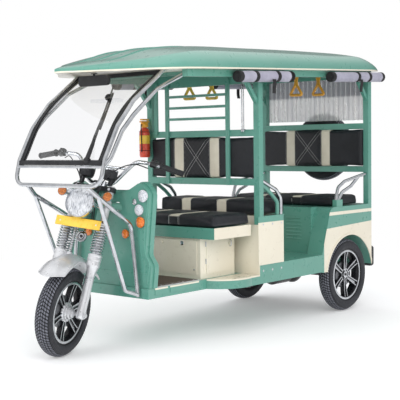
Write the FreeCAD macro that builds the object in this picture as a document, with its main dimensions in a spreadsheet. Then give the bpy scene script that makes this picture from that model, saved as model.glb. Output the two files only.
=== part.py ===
import FreeCAD, Part
import math
import os
import re

import Sketcher
from FreeCAD import Placement, Rotation, Vector

# Driving sizes in millimetres and degrees. Places along the vehicle are measured
# forward from the rear axle, sideways from the centre line and up from the floor.
SIZES = {
    # whole vehicle
    "origin_ahead": 937.0,
    "overrun": 4.0,
    "seat_gap": 0.3,
    "running_gap": 0.05,
    "sheet_steel": 2.5,
    # wheels and tyres
    "tyre_radius": 240.0,
    "tyre_width": 94.0,
    "tyre_widest_radius": 197.0,
    "shoulder_half": 36.0,
    "shoulder_radius": 223.0,
    "bead_half": 32.0,
    "bead_radius": 158.0,
    "bead_height": 9.0,
    "rim_flange": 4.0,
    "rim_bed_radius": 142.0,
    "rim_bed_half": 20.0,
    "rim_edge_radius": 150.0,
    "hub_radius": 46.0,
    "hub_half": 30.0,
    "drum_radius": 62.0,
    "spoke_width": 15.0,
    "spoke_root_width": 20.0,
    "spoke_depth": 26.0,
    "spoke_spread": 17.0,
    "spoke_pairs": 6,
    "axle_diameter": 17.0,
    "wheel_inset": 41.0,
    # steering geometry
    "rake": 20.2,
    "steer_at_rest": 20.0,
    "steering_ahead": 2062.3,
    "fork_offset": 41.5,
    "axle_drop": 15.3,
    # fork
    "leg_half_spacing": 103.4,
    "lower_leg_diameter": 42.0,
    "lower_leg_top": 262.0,
    "lower_leg_foot": -22.0,
    "collar_diameter": 68.0,
    "collar_top": 318.0,
    "spring_diameter": 66.0,
    "spring_wire": 9.5,
    "spring_turns": 8.5,
    "stanchion_diameter": 32.0,
    "lower_yoke_place": 500.0,
    "yoke_thickness": 26.0,
    "upper_yoke_place": 690.0,
    "yoke_radius": 26.0,
    "stem_diameter": 34.0,
    # handlebar
    "bar_diameter": 22.0,
    "bar_clamp_half": 70.0,
    "bar_clamp_place": 735.0,
    "bar_clamp_back": 56.0,
    "bar_bend_half": 176.0,
    "bar_bend_place": 884.0,
    "bar_bend_back": 60.0,
    "bar_grip_half": 250.0,
    "bar_grip_place": 884.0,
    "bar_end_half": 445.0,
    "bar_end_place": 862.0,
    "bar_end_back": 108.0,
    "bar_brace_half": 134.0,
    "bar_brace_place": 836.0,
    "bar_bend_radius": 60.0,
    "grip_diameter": 32.0,
    "grip_length": 125.0,
    "switch_length": 46.0,
    "switch_depth": 52.0,
    # headlamp, pods and signals on the fork
    "lamp_place": 578.0,
    "lamp_forward": 97.5,
    "lamp_radius": 86.0,
    "lamp_depth": 105.0,
    "pod_place": 776.0,
    "pod_half_spacing": 70.0,
    "pod_radius": 44.0,
    "pod_depth": 62.0,
    "signal_half_spacing": 138.0,
    "signal_place": 632.0,
    "signal_radius": 27.0,
    "signal_depth": 40.0,
    "plate_half": 136.0,
    "plate_height": 52.0,
    "plate_place": 473.0,
    "plate_forward": 84.0,
    "plate_thickness": 3.0,
    "mudguard_radius": 262.0,
    "mudguard_half": 62.0,
    "mudguard_sheet": 2.5,
    "mudguard_crown": 16.0,
    "mudguard_front_angle": 42.0,
    "mudguard_rear_angle": 62.0,
    "horn_radius": 45.0,
    "horn_depth": 26.0,
    "horn_place": 418.0,
    # chassis
    "rail_half_spacing": 240.0,
    "rail_width": 40.0,
    "rail_bottom": 294.0,
    "rail_top": 338.0,
    "rail_front": 1740.0,
    "head_tube_diameter": 52.0,
    "neck_diameter": 42.0,
    "axle_tube_diameter": 46.0,
    "diff_radius": 88.0,
    "diff_half": 60.0,
    "motor_radius": 78.0,
    "motor_length": 155.0,
    "leaf_width": 50.0,
    "leaf_thickness": 8.0,
    "leaf_half_length": 300.0,
    # floors and sides
    "floor_half_width": 454.0,
    "skirt_bottom": 289.0,
    "passenger_floor_top": 400.0,
    "riser_front": 252.0,
    "post_front": 960.0,
    "post_size": 40.0,
    "driver_floor_top": 345.0,
    "driver_floor_front": 1772.0,
    "driver_floor_half": 320.0,
    "step_front": 1290.0,
    "mat_thickness": 4.0,
    "mat_margin": 22.0,
    # rear body
    "body_back": -307.0,
    "fender_top": 700.0,
    "fender_bottom": 284.0,
    "fender_front_low": 300.0,
    "fender_front_high": 212.0,
    "fender_shoulder": 662.0,
    "fender_shoulder_back": 165.0,
    "arch_lip": 12.0,
    "arch_lip_proud": 4.0,
    "arch_centre": -30.0,
    "arch_height": 225.0,
    "arch_radius": 280.0,
    "wheel_room": 78.0,
    # roof and posts
    "roof_front": 2100.0,
    "roof_back": -400.0,
    "roof_edge_front": 1502.0,
    "roof_edge_back": 1608.0,
    "roof_overhang": 46.0,
    "roof_shoulder": 100.0,
    "roof_tuck": 45.0,
    "roof_crown": 160.0,
    "roof_wall": 5.0,
    "roof_lip": 14.0,
    "roof_flange": 60.0,
    "visor_back": 1400.0,
    "side_rail_front": 1580.0,
    "header_depth": 75.0,
    "bow_width": 30.0,
    "bow_thickness": 12.0,
    "brace_thickness": 22.0,
    "brace_reach": 125.0,
    "brace_drop": 150.0,
    # partition behind the driver and rear backrest
    "partition_low_top": 912.0,
    "partition_high_top": 1204.0,
    "partition_rail": 40.0,
    "partition_pad_thickness": 56.0,
    "pad_inset": 58.0,
    "backrest_low_top": 957.0,
    "backrest_high_top": 1252.0,
    "bar_thickness": 26.0,
    "ladder_bar_left": 224.0,
    "ladder_bar_right": -270.0,
    "upper_bar_inset": 88.0,
    "ladder_rung_low": 1270.0,
    "ladder_rung_pitch": 70.0,
    "ladder_rung_thickness": 16.0,
    # seats
    "driver_seat_front": 1335.0,
    "driver_seat_back": 1000.0,
    "driver_seat_inset": 34.0,
    "seat_rim_bottom": 580.0,
    "seat_rim_top": 645.0,
    "driver_cushion_top": 717.0,
    "box_front": 1320.0,
    "box_back": 1010.0,
    "box_half": 300.0,
    "box_wall": 3.0,
    "door_thickness": 3.0,
    "door_margin": 26.0,
    "door_lap": 12.0,
    "lock_radius": 11.0,
    "lock_depth": 7.0,
    "battery_front": 200.0,
    "battery_back": -60.0,
    "battery_half": 260.0,
    "battery_height": 215.0,
    "middle_seat_back": 900.0,
    "middle_seat_front": 640.0,
    "middle_seat_bottom": 690.0,
    "middle_seat_top": 783.0,
    "bench_inset": 44.0,
    "middle_base_front": 727.0,
    "rear_seat_front": 120.0,
    "rear_seat_back": -206.0,
    "rear_seat_top": 768.0,
    "cushion_rounding": 22.0,
    "louver_count": 7,
    "louver_width": 110.0,
    "louver_pitch": 23.0,
    "louver_radius": 6.0,
    "louver_place": 196.0,
    "louver_low": 488.0,
    # chrome rails at the sides
    "grab_diameter": 22.0,
    "grab_bend_radius": 40.0,
    "front_grab_top": 905.0,
    "front_grab_reach": 724.0,
    "rear_grab_top": 908.0,
    "rear_grab_reach": 108.0,
    "arm_bar": 24.0,
    "arm_foot_height": 45.0,
    "side_panel_top": 690.0,
    "side_panel_front": 975.0,
    "bulkhead_inner": 262.0,
    "bulkhead_top": 640.0,
    # windscreen
    "screen_low": 1022.0,
    "screen_high": 1516.0,
    "screen_front": 2109.0,
    "screen_back": 1650.0,
    "glass_half": 328.0,
    "glass_thickness": 4.0,
    "gasket_width": 24.0,
    "gasket_depth": 14.0,
    "screen_tube": 22.0,
    "loop_low": 911.0,
    "loop_front": 2127.0,
    "loop_bend_radius": 85.0,
    "second_tube_top": 1430.0,
    "second_tube_half": 352.0,
    # crash guard
    "guard_tube": 25.0,
    "guard_top_half": 235.0,
    "guard_joint_ahead": 2061.0,
    "guard_joint_half": 254.0,
    "guard_joint_height": 851.0,
    "guard_elbow_gap": 3.0,
    "guard_elbow_half": 216.0,
    "guard_elbow_height": 687.0,
    "guard_foot_half": 258.0,
    "guard_foot_height": 300.0,
    "guard_low_ahead": 1861.0,
    "guard_low_half": 235.0,
    "guard_low_height": 341.0,
    # cowl
    "cowl_half": 332.0,
    "cowl_top": 923.0,
    "cowl_depth": 56.0,
    "cowl_sheet": 3.0,
    "cowl_bead": 7.0,
    "cowl_setback": 12.0,
    "cowl_corner": 42.0,
    "cowl_lamp_radius": 33.0,
    "cowl_lamp_depth": 26.0,
    # small fittings
    "bumper_back": -372.0,
    "bumper_depth": 52.0,
    "bumper_bottom": 262.0,
    "bumper_top": 402.0,
    "bumper_inset": 14.0,
    "plate_hole_radius": 3.5,
    "plate_hole_spacing": 180.0,
    "bumper_rounding": 18.0,
    "tail_lamp_radius": 34.0,
    "tail_lamp_depth": 24.0,
    "tail_lamp_inset": 60.0,
    "tail_lamp_height": 600.0,
    "roll_radius": 37.0,
    "roll_core": 20.0,
    "roll_drop": 45.0,
    "front_roll_front": 1205.0,
    "front_roll_back": 684.0,
    "rear_roll_front": 258.0,
    "rear_roll_back": -376.0,
    "strap_half": 200.0,
    "strap_width": 30.0,
    "strap_thickness": 4.0,
    "strap_length": 50.0,
    "strap_ring_width": 136.0,
    "strap_ring_height": 108.0,
    "strap_ring_tube": 14.0,
    "spare_back": -402.0,
    "spare_height": 1090.0,
    "carrier_width": 60.0,
    "carrier_depth": 30.0,
    "carrier_boss_radius": 34.0,
    "carrier_nut_radius": 17.0,
    "carrier_nut_depth": 14.0,
    "rear_panel_low": 1275.0,
    "rear_panel_inset": 2.0,
    "rear_panel_ribs": 13,
    "rear_panel_rib": 9.0,
    "rear_panel_sheet": 3.0,
    "extinguisher_radius": 32.0,
    "extinguisher_low": 1040.0,
    "extinguisher_high": 1280.0,
    "extinguisher_inset": 14.0,
    "mirror_low": 1444.0,
    "mirror_high": 1500.0,
    "mirror_half": 118.0,
    "mirror_place": 1830.0,
    "mirror_depth": 20.0,
    "wiper_tube": 9.0,
    "wiper_pivot_half": 249.0,
    "wiper_pivot_radius": 14.0,
    "wiper_low": 1195.0,
    "wiper_high": 1480.0,
    "wiper_low_half": 285.0,
    "wiper_high_half": 140.0,
    "sill_plate_front": 1600.0,
    "sill_plate_rear": 1360.0,
    "sill_plate_height": 38.0,
    "sill_edge": 20.0,
}

# Places across the vehicle that follow its width, in the same names.
WIDTHS = {
    "rear_half_track": "floor_half_width - wheel_inset",
    "housing_inner": "rear_half_track - wheel_room",
    "roof_half_width": "floor_half_width + roof_overhang",
    "partition_pad_half": "floor_half_width - pad_inset",
    "upper_bar_place": "upper_bar_inset - floor_half_width",
    "driver_seat_half": "floor_half_width - driver_seat_inset",
    "bench_half": "floor_half_width - bench_inset",
    "grab_half": "floor_half_width - post_size / 2",
    "rear_panel_half": "floor_half_width - rear_panel_inset",
    "bumper_half": "floor_half_width - bumper_inset",
    "tail_lamp_half": "floor_half_width - tail_lamp_inset",
    "extinguisher_side": "extinguisher_inset - floor_half_width",
}

doc = FreeCAD.newDocument("auto_rickshaw")
sheet = doc.addObject("Spreadsheet::Sheet", "sizes")
SUBPARTS = []
FUNCTIONS = {"sin", "cos", "tan", "sqrt", "min", "max", "abs"}


def fill_sheet():
    """One row for each size: its name and its value, or the sum that it follows."""
    rows = list(SIZES.items()) + [(name, "=" + text) for name, text in WIDTHS.items()]
    for row, (name, amount) in enumerate(rows, start=1):
        sheet.set(f"A{row}", name)
        sheet.set(f"B{row}", str(amount))
        sheet.setAlias(f"B{row}", name)
    doc.recompute()


def bound(text):
    """The expression with each named size read from the sheet."""
    def prefixed(match):
        word = match.group(0)
        return word if word in FUNCTIONS else "sizes." + word
    return re.sub(r"[a-z][a-z_]*[a-z]", prefixed, str(text))


def mm(text):
    """The value of an expression in named sizes."""
    return float(sheet.evalExpression(bound(text)))


def at(x, y, z):
    """A point whose places are expressions in named sizes."""
    return Vector(mm(x), mm(y), mm(z))


def bind(item, **properties):
    for name, text in properties.items():
        item.setExpression(name.replace("__", "."), bound(text))


def block(name, x, y, z):
    """A box between two places along each axis."""
    item = doc.addObject("Part::Box", name)
    for side, axis, (low, high) in (("Length", "x", x), ("Width", "y", y), ("Height", "z", z)):
        item.setExpression(side, bound(f"({high}) - ({low})"))
        item.setExpression(f"Placement.Base.{axis}", bound(low))
    return item


TURNS = {
    "x": Rotation(Vector(0, 1, 0), 90),
    "y": Rotation(Vector(1, 0, 0), -90),
    "z": Rotation(),
}


def rod(name, radius, length, start, axis="z"):
    """A cylinder that grows from its start along one axis."""
    item = doc.addObject("Part::Cylinder", name)
    item.Placement = Placement(Vector(), TURNS[axis])
    bind(item, Radius=radius, Height=length)
    for place, text in zip("xyz", start):
        item.setExpression(f"Placement.Base.{place}", bound(text))
    return item


def fuse(name, parts):
    item = doc.addObject("Part::MultiFuse", name)
    item.Shapes = parts
    return item


def cut(name, base, tool):
    item = doc.addObject("Part::Cut", name)
    item.Base = base
    item.Tool = tool
    return item


def mirrored(name, source):
    """The same piece on the other side of the centre line."""
    item = doc.addObject("Part::Mirroring", name)
    item.Source = source
    item.Base = Vector(0, 0, 0)
    item.Normal = Vector(0, 1, 0)
    return item


def shape_of(name, shape):
    """A document object that holds a shape made with Part's functions."""
    item = doc.addObject("Part::Feature", name)
    item.Shape = shape
    return item


def subpart(label, parts):
    """A finished piece of the vehicle, moved from the rear axle to the shared origin."""
    item = doc.addObject("Part::Compound", label)
    item.Links = parts
    item.Label = label
    item.setExpression("Placement.Base.x", bound("-origin_ahead"))
    SUBPARTS.append(item)
    return item


def steered(label, parts):
    """A finished piece of the steering, placed on the turned fork."""
    item = doc.addObject("Part::Compound", label)
    item.Links = parts
    item.Label = label
    item.Placement = steering_placement()
    SUBPARTS.append(item)
    return item


def steering_rotation():
    rake = Rotation(Vector(0, 1, 0), -mm("rake"))
    return rake.multiply(Rotation(Vector(0, 0, 1), mm("steer_at_rest")))


def crown_radius():
    """The radius of the round tread across the tyre."""
    rise = mm("tyre_radius - shoulder_radius")
    return (mm("shoulder_half") ** 2 + rise ** 2) / (2 * rise)


def steering_placement():
    """The front axle's frame: forward, left and up along the fork, resting on the floor."""
    turn = steering_rotation()
    foot = at("steering_ahead - origin_ahead", "0", "tyre_radius")
    centre = foot + turn.multVec(at("fork_offset", "0", "-axle_drop"))
    lean = turn.multVec(Vector(0, 1, 0)).z
    crown = crown_radius()
    centre.z = (mm("tyre_radius") - crown) * math.sqrt(1 - lean ** 2) + crown
    return Placement(centre, turn)


def origin_plane(body, role):
    for feature in body.Origin.OriginFeatures:
        if feature.Role == role:
            return feature
    raise ValueError(role)


def sketch_on(body, role, name, offset="0"):
    """A sketch on one of the body's own planes, moved along the plane's normal."""
    sketch = body.newObject("Sketcher::SketchObject", name)
    sketch.AttachmentSupport = [(origin_plane(body, role), "")]
    sketch.MapMode = "FlatFace"
    sketch.setExpression("AttachmentOffset.Base.z", bound(offset))
    return sketch


def outline(sketch, corners):
    """A closed outline. A corner with four places is reached by an arc through its last two."""
    count = len(corners)
    places = [Vector(mm(corner[0]), mm(corner[1]), 0) for corner in corners]
    for index, corner in enumerate(corners):
        start = places[index - 1]
        end = places[index]
        if len(corner) == 4:
            middle = Vector(mm(corner[2]), mm(corner[3]), 0)
            sketch.addGeometry(Part.Arc(start, middle, end), False)
        else:
            sketch.addGeometry(Part.LineSegment(start, end), False)
    for index in range(count):
        following = (index + 1) % count
        tail = arc_end(sketch, index, places[index])
        head = arc_end(sketch, following, places[index])
        sketch.addConstraint(Sketcher.Constraint("Coincident", index, tail, following, head))
        pin(sketch, index, tail, corners[index][0], corners[index][1], places[index])
    for index, corner in enumerate(corners):
        if len(corner) == 4:
            middle = Vector(mm(corner[2]), mm(corner[3]), 0)
            dot = sketch.addGeometry(Part.Point(middle), True)
            pin(sketch, dot, 1, corner[2], corner[3], middle)
            sketch.addConstraint(Sketcher.Constraint("PointOnObject", dot, 1, index))


def arc_end(sketch, index, place):
    """Which end of an edge, 1 or 2, lies at a place."""
    first = sketch.getPoint(index, 1)
    second = sketch.getPoint(index, 2)
    return 1 if (first - place).Length <= (second - place).Length else 2


def pin(sketch, index, end, x, y, place):
    """Hold a point at its two places from the sketch's origin."""
    for kind, text, amount in (("DistanceX", x, place.x), ("DistanceY", y, place.y)):
        number = sketch.addConstraint(Sketcher.Constraint(kind, index, end, amount))
        if re.search("[a-z]", str(text)):
            sketch.setExpression(f"Constraints[{number}]", bound(text))


def pad(body, sketch, name, length, backwards=False):
    feature = body.newObject("PartDesign::Pad", name)
    feature.Profile = sketch
    feature.Reversed = backwards
    bind(feature, Length=length)
    body.Tip = feature
    return feature


def plate(name, role, corners, thickness, offset="0", backwards=False):
    """A flat piece: an outline on a plane, padded to its thickness."""
    body = doc.addObject("PartDesign::Body", name)
    sketch = sketch_on(body, role, name + "_outline", offset)
    outline(sketch, corners)
    pad(body, sketch, name + "_pad", thickness, backwards)
    return body


def turned(name, corners):
    """A round piece: a profile of (along Y, radius) places turned about the Y axis."""
    body = doc.addObject("PartDesign::Body", name)
    sketch = sketch_on(body, "YZ_Plane", name + "_profile")
    outline(sketch, corners)
    feature = body.newObject("PartDesign::Revolution", name + "_turn")
    feature.Profile = sketch
    feature.ReferenceAxis = (sketch, ["H_Axis"])
    feature.Angle = 360
    body.Tip = feature
    return body


def rounded_path(points, radius):
    """Straight runs joined by tangent arcs no larger than the runs allow."""
    edges = []
    start = points[0]
    for index in range(1, len(points) - 1):
        corner = points[index]
        back = points[index - 1] - corner
        ahead = points[index + 1] - corner
        half_turn = (math.pi - back.getAngle(ahead)) / 2
        reach = min(radius * math.tan(half_turn), 0.45 * min(back.Length, ahead.Length))
        back.normalize()
        ahead.normalize()
        first = corner + back * reach
        last = corner + ahead * reach
        bisector = back + ahead
        bisector.normalize()
        arc_radius = reach / math.tan(half_turn)
        centre = corner + bisector * (arc_radius / math.cos(half_turn))
        middle = centre - bisector * arc_radius
        edges.append(Part.LineSegment(start, first).toShape())
        edges.append(Part.Arc(first, middle, last).toShape())
        start = last
    edges.append(Part.LineSegment(start, points[-1]).toShape())
    return Part.Wire(edges)


def tube(points, diameter, bend="bar_bend_radius"):
    """A round bar along a path with rounded bends."""
    path = rounded_path(points, mm(bend))
    direction = points[1] - points[0]
    ring = Part.Wire(Part.makeCircle(mm(diameter) / 2, points[0], direction))
    return path.makePipeShell([ring], True, False)


def joined(shapes):
    """Several shapes fused into one."""
    whole = shapes[0]
    return whole.fuse(shapes[1:]) if len(shapes) > 1 else whole


def flip(shape):
    """The same shape on the other side of the centre line."""
    return shape.mirror(Vector(0, 0, 0), Vector(0, 1, 0))


def spread(low, high, shares):
    """Places at shares of the way from one size to another."""
    start = mm(low)
    reach = mm(high) - start
    return [start + reach * share for share in shares]


def both_sides(make):
    """The shapes that a function makes for the right side and for the left."""
    return [shape for side in (-1, 1) for shape in make(side)]


def spun(profile, place, axis=Vector(0, 0, 1)):
    """A round form: (radius, along) places turned about an axis through a point."""
    points = [Vector(radius, 0, along) for radius, along in profile]
    shape = Part.Face(Part.makePolygon(points + points[:1])).revolve(Vector(), Vector(0, 0, 1), 360)
    shape.Placement = Placement(place, Rotation(Vector(0, 0, 1), axis))
    return shape


def prism(wire_points, along):
    """A flat outline pushed along a direction."""
    return Part.Face(Part.makePolygon(wire_points + wire_points[:1])).extrude(along)


# Wheels

def tyre(name):
    """A round-shouldered tyre with its beads on the rim."""
    side = "tyre_width / 2"
    bead_top = "bead_radius + bead_height"
    return turned(name, [
        ("-bead_half", "bead_radius"),
        ("bead_half", "bead_radius"),
        ("bead_half", bead_top),
        ("shoulder_half", "shoulder_radius", side, "tyre_widest_radius"),
        ("-shoulder_half", "shoulder_radius", "0", "tyre_radius"),
        ("-bead_half", bead_top, f"-({side})", "tyre_widest_radius"),
    ])


def rim(name):
    """A cast rim: flanged ring, hub and pairs of spokes."""
    edge = "bead_half + rim_flange"
    flange_top = "bead_radius + bead_height - seat_gap"
    ring = turned(name + "_ring", [
        (f"-({edge})", "rim_edge_radius"),
        ("-rim_bed_half", "rim_bed_radius"),
        ("rim_bed_half", "rim_bed_radius"),
        (edge, "rim_edge_radius"),
        (edge, flange_top),
        ("bead_half + seat_gap", flange_top),
        ("bead_half + seat_gap", "bead_radius - seat_gap"),
        ("-bead_half - seat_gap", "bead_radius - seat_gap"),
        ("-bead_half - seat_gap", flange_top),
        (f"-({edge})", flange_top),
    ])
    hub = rod(name + "_hub", "hub_radius", "2 * hub_half", ("0", "-hub_half", "0"), "y")
    spokes = shape_of(name + "_spokes", spoke_star())
    bore = rod(name + "_bore", "axle_diameter / 2", "2 * hub_half + 2 * overrun",
               ("0", "-hub_half - overrun", "0"), "y")
    return cut(name, fuse(name + "_whole", [ring, hub, spokes]), bore)


def spoke_star():
    """Pairs of tapered spokes from the hub to the rim's bed."""
    spokes = []
    inner = mm("hub_radius") * 0.7
    outer = mm("rim_bed_radius + rim_edge_radius") / 2
    root = mm("spoke_root_width") / 2
    tip = mm("spoke_width") / 2
    half = mm("spoke_depth") / 2
    outline_points = [Vector(-root, -half, inner), Vector(root, -half, inner),
                      Vector(tip, -half, outer), Vector(-tip, -half, outer)]
    face = Part.Face(Part.makePolygon(outline_points + outline_points[:1]))
    spoke = face.extrude(Vector(0, 2 * half, 0))
    for pair in range(int(mm("spoke_pairs"))):
        for side in (-1, 1):
            angle = pair * 360 / mm("spoke_pairs") + side * mm("spoke_spread")
            copy = spoke.copy()
            copy.translate(Vector(-side * mm("spoke_width") * 0.45, 0, 0))
            copy.rotate(Vector(), Vector(0, 1, 0), angle)
            spokes.append(copy)
    return joined(spokes)


def build_wheels():
    """The two driven wheels, the steered wheel and the spare on the back."""
    for side, sign in (("left", ""), ("right", "-")):
        place = f"{sign}rear_half_track"
        for kind, maker in (("tyre", tyre), ("rim", rim)):
            item = subpart(f"rear_{side}_{kind}", [maker(f"rear_{side}_{kind}_form")])
            bind(item, Placement__Base__y=place, Placement__Base__z="tyre_radius")
    steered("front_tyre", [tyre("front_tyre_form")])
    steered("front_rim", [rim("front_rim_form")])
    quarter = Rotation(Vector(0, 0, 1), 90)
    for kind, maker in (("tyre", tyre), ("rim", rim)):
        item = subpart(f"spare_{kind}", [maker(f"spare_{kind}_form")])
        item.Placement = Placement(Vector(), quarter)
        bind(item, Placement__Base__x="spare_back - origin_ahead", Placement__Base__z="spare_height")


# Fork and handlebar, in the frame of the front axle

def build_fork():
    legs = []
    springs = []
    for side, sign in (("left", "1"), ("right", "-1")):
        across = f"{sign} * leg_half_spacing"
        lower = rod(f"leg_{side}", "lower_leg_diameter / 2", "lower_leg_top - lower_leg_foot",
                    ("0", across, "lower_leg_foot"))
        collar = doc.addObject("Part::Cone", f"collar_{side}")
        bind(collar, Radius1="lower_leg_diameter / 2", Radius2="collar_diameter / 2",
             Height="(collar_top - lower_leg_top) / 2", Placement__Base__y=across,
             Placement__Base__z="lower_leg_top")
        cup = rod(f"cup_{side}", "collar_diameter / 2", "(collar_top - lower_leg_top) / 2",
                  ("0", across, "(collar_top + lower_leg_top) / 2"))
        stanchion = rod(f"stanchion_{side}", "stanchion_diameter / 2",
                        "upper_yoke_place - yoke_thickness / 2 - collar_top",
                        ("0", across, "collar_top"))
        legs.append(fuse(f"leg_whole_{side}", [lower, collar, cup, stanchion]))
        springs.append(spring(f"spring_{side}", across))
    axle = rod("front_axle_pin", "axle_diameter / 2 - running_gap",
               "2 * leg_half_spacing", ("0", "-leg_half_spacing", "0"), "y")
    steered("fork_legs", [fuse("fork_legs_whole", legs + [axle])])
    steered("fork_springs", springs)
    steered("fork_yokes", [yokes()])


def spring(name, across):
    """The open coil spring round a stanchion, between its cup and the lower yoke."""
    wire = mm("spring_wire")
    low = mm("collar_top + seat_gap") + wire / 2
    high = mm("lower_yoke_place - yoke_thickness / 2 - seat_gap") - wire / 2
    radius = mm("spring_diameter") / 2 - wire / 2
    coil = Part.makeHelix((high - low) / mm("spring_turns"), high - low, radius)
    ring = Part.Wire(Part.makeCircle(wire / 2, Vector(radius, 0, 0), Vector(0, 1, 0)))
    body = Part.Wire(coil.Edges).makePipeShell([ring], True, True)
    body.translate(Vector(0, mm(across), low))
    return shape_of(name, body)


def yokes():
    """Two yokes that hold the stanchions, and the stem between them."""
    shapes = []
    radius = mm("yoke_radius")
    thick = mm("yoke_thickness")
    for place in ("lower_yoke_place", "upper_yoke_place"):
        low = mm(place) - thick / 2
        bar = Part.makeBox(2 * radius, 2 * mm("leg_half_spacing"), thick,
                           Vector(-radius, -mm("leg_half_spacing"), low))
        shapes.append(bar)
        for side in (-1, 1):
            eye = Part.makeCylinder(radius, thick, Vector(0, side * mm("leg_half_spacing"), low))
            shapes.append(eye)
        boss = Part.makeCylinder(radius, thick, Vector(-mm("fork_offset"), 0, low))
        shapes.append(boss)
    stem_low = mm("lower_yoke_place")
    stem_length = mm("upper_yoke_place - lower_yoke_place")
    shapes.append(Part.makeCylinder(mm("stem_diameter") / 2, stem_length,
                                    Vector(-mm("fork_offset"), 0, stem_low)))
    whole = joined(shapes)
    for side in (-1, 1):
        bore = Part.makeCylinder(mm("stanchion_diameter / 2"),
                                 mm("upper_yoke_place - yoke_thickness"),
                                 Vector(0, side * mm("leg_half_spacing"), 0))
        whole = whole.cut(bore)
    return shape_of("fork_yokes_form", whole)


def bar_points(side):
    """The left or right half of the handlebar, from its clamp to its end."""
    return [
        Vector(-mm("bar_clamp_back"), side * mm("bar_clamp_half"), mm("bar_clamp_place")),
        Vector(-mm("bar_bend_back"), side * mm("bar_bend_half"), mm("bar_bend_place")),
        Vector(-mm("bar_bend_back"), side * mm("bar_grip_half"), mm("bar_grip_place")),
        Vector(-mm("bar_end_back"), side * mm("bar_end_half"), mm("bar_end_place")),
    ]


def build_handlebar():
    left = bar_points(1)
    right = bar_points(-1)
    path = list(reversed(left)) + right
    bar = tube(path, "bar_diameter", "bar_bend_radius")
    brace_place = mm("bar_brace_place")
    brace_half = mm("bar_brace_half")
    back = mm("bar_clamp_back + bar_bend_back") / 2
    brace = tube([Vector(-back, -brace_half, brace_place), Vector(-back, brace_half, brace_place)],
                 "bar_diameter * 0.6")
    clamp = Part.makeBox(mm("bar_diameter") * 1.6, mm("bar_clamp_half"),
                         mm("bar_clamp_place - upper_yoke_place - yoke_thickness / 2 + bar_diameter / 2"),
                         at("-bar_clamp_back - bar_diameter * 0.8", "-bar_clamp_half / 2",
                            "upper_yoke_place + yoke_thickness / 2"))
    steered("handlebar", [shape_of("handlebar_form", joined([bar, brace, clamp]))])
    controls = []
    for side in (-1, 1):
        start = Vector(-mm("bar_bend_back"), side * mm("bar_grip_half"), mm("bar_grip_place"))
        end = Vector(-mm("bar_end_back"), side * mm("bar_end_half"), mm("bar_end_place"))
        controls.append(control(start, end, side))
    steered("handlebar_controls", [shape_of("controls_form", Part.makeCompound(controls))])


def control(start, end, side):
    """A grip with its switch housing and lever, bored for the bar."""
    along = end - start
    along.normalize()
    grip_start = end - along * (mm("grip_length") - mm("overrun"))
    grip = Part.makeCylinder(mm("grip_diameter") / 2, mm("grip_length"), grip_start, along)
    housing_start = grip_start - along * mm("switch_length")
    housing = Part.makeCylinder(mm("switch_depth") / 2, mm("switch_length"), housing_start, along)
    lever_root = housing_start + along * (mm("switch_length") / 2)
    lever_tip = end + Vector(mm("switch_depth") * 0.7, -side * mm("switch_depth") / 2, 0)
    knee = lever_root + Vector(mm("switch_depth"), side * mm("switch_depth") / 2, 0)
    lever = tube([lever_root, knee, lever_tip], "bar_diameter * 0.5", "switch_depth")
    bore = Part.makeCylinder(mm("bar_diameter") / 2, mm("bar_grip_half"),
                             housing_start - along * mm("overrun"), along)
    return joined([grip, housing, lever]).cut(bore)


def build_fork_fittings():
    """Headlamp, pods, signals, plate, mudguard and horn."""
    steered("headlamp", [headlamp()])
    steered("instrument_pods", pods())
    steered("front_turn_signals", signals())
    plate_form = block("plate_form", ("plate_forward", "plate_forward + plate_thickness"),
                       ("-plate_half", "plate_half"),
                       ("plate_place - plate_height / 2", "plate_place + plate_height / 2"))
    bracket = block("plate_bracket", ("yoke_radius", "plate_forward + seat_gap"),
                    ("-plate_half / 4", "plate_half / 4"),
                    ("lower_yoke_place - yoke_thickness / 2",
                     "lower_yoke_place - yoke_thickness / 4"))
    steered("number_plate", [fuse("number_plate_whole", [plate_form, bracket])])
    steered("front_mudguard", [mudguard()])
    horn = rod("horn_form", "horn_radius", "horn_depth",
               ("spring_diameter / 2 + seat_gap", "-leg_half_spacing / 2", "horn_place"), "x")
    stalk = block("horn_stalk", ("0", "spring_diameter / 2 + 2 * seat_gap"),
                  ("-leg_half_spacing / 2 - 0.2 * horn_radius", "-leg_half_spacing / 2 + 0.2 * horn_radius"),
                  ("horn_place", "lower_yoke_place - yoke_thickness / 2 - seat_gap"))
    steered("horn", [fuse("horn_whole", [horn, stalk])])


def headlamp():
    """A round shell with a bezel, on ears from the stanchions."""
    radius = mm("lamp_radius")
    depth = mm("lamp_depth")
    centre = at("lamp_forward", "0", "lamp_place")
    back = centre - Vector(depth / 2, 0, 0)
    shell = Part.makeCone(radius * 0.55, radius * 0.96, depth * 0.6, back, Vector(1, 0, 0))
    ring = Part.makeCylinder(radius, depth * 0.2, back + Vector(depth * 0.6, 0, 0), Vector(1, 0, 0))
    ball_radius = radius * 2.2
    glass = Part.makeSphere(ball_radius, back + Vector(depth - ball_radius, 0, 0))
    lens_space = Part.makeCylinder(radius * 0.93, depth * 0.4, back + Vector(depth * 0.7, 0, 0),
                                   Vector(1, 0, 0))
    shapes = [shell, ring, glass.common(lens_space)]
    for side in (-1, 1):
        low = min(radius * 0.7, mm("leg_half_spacing - stanchion_diameter / 2 - seat_gap") )
        high = mm("leg_half_spacing - stanchion_diameter / 2 - seat_gap")
        width = high - low + radius * 0.2
        ear = Part.makeBox(centre.x, width, radius * 0.4,
                           Vector(0, high - width if side > 0 else -high, centre.z - radius * 0.2))
        shapes.append(ear)
    return shape_of("headlamp_form", joined(shapes))


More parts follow.
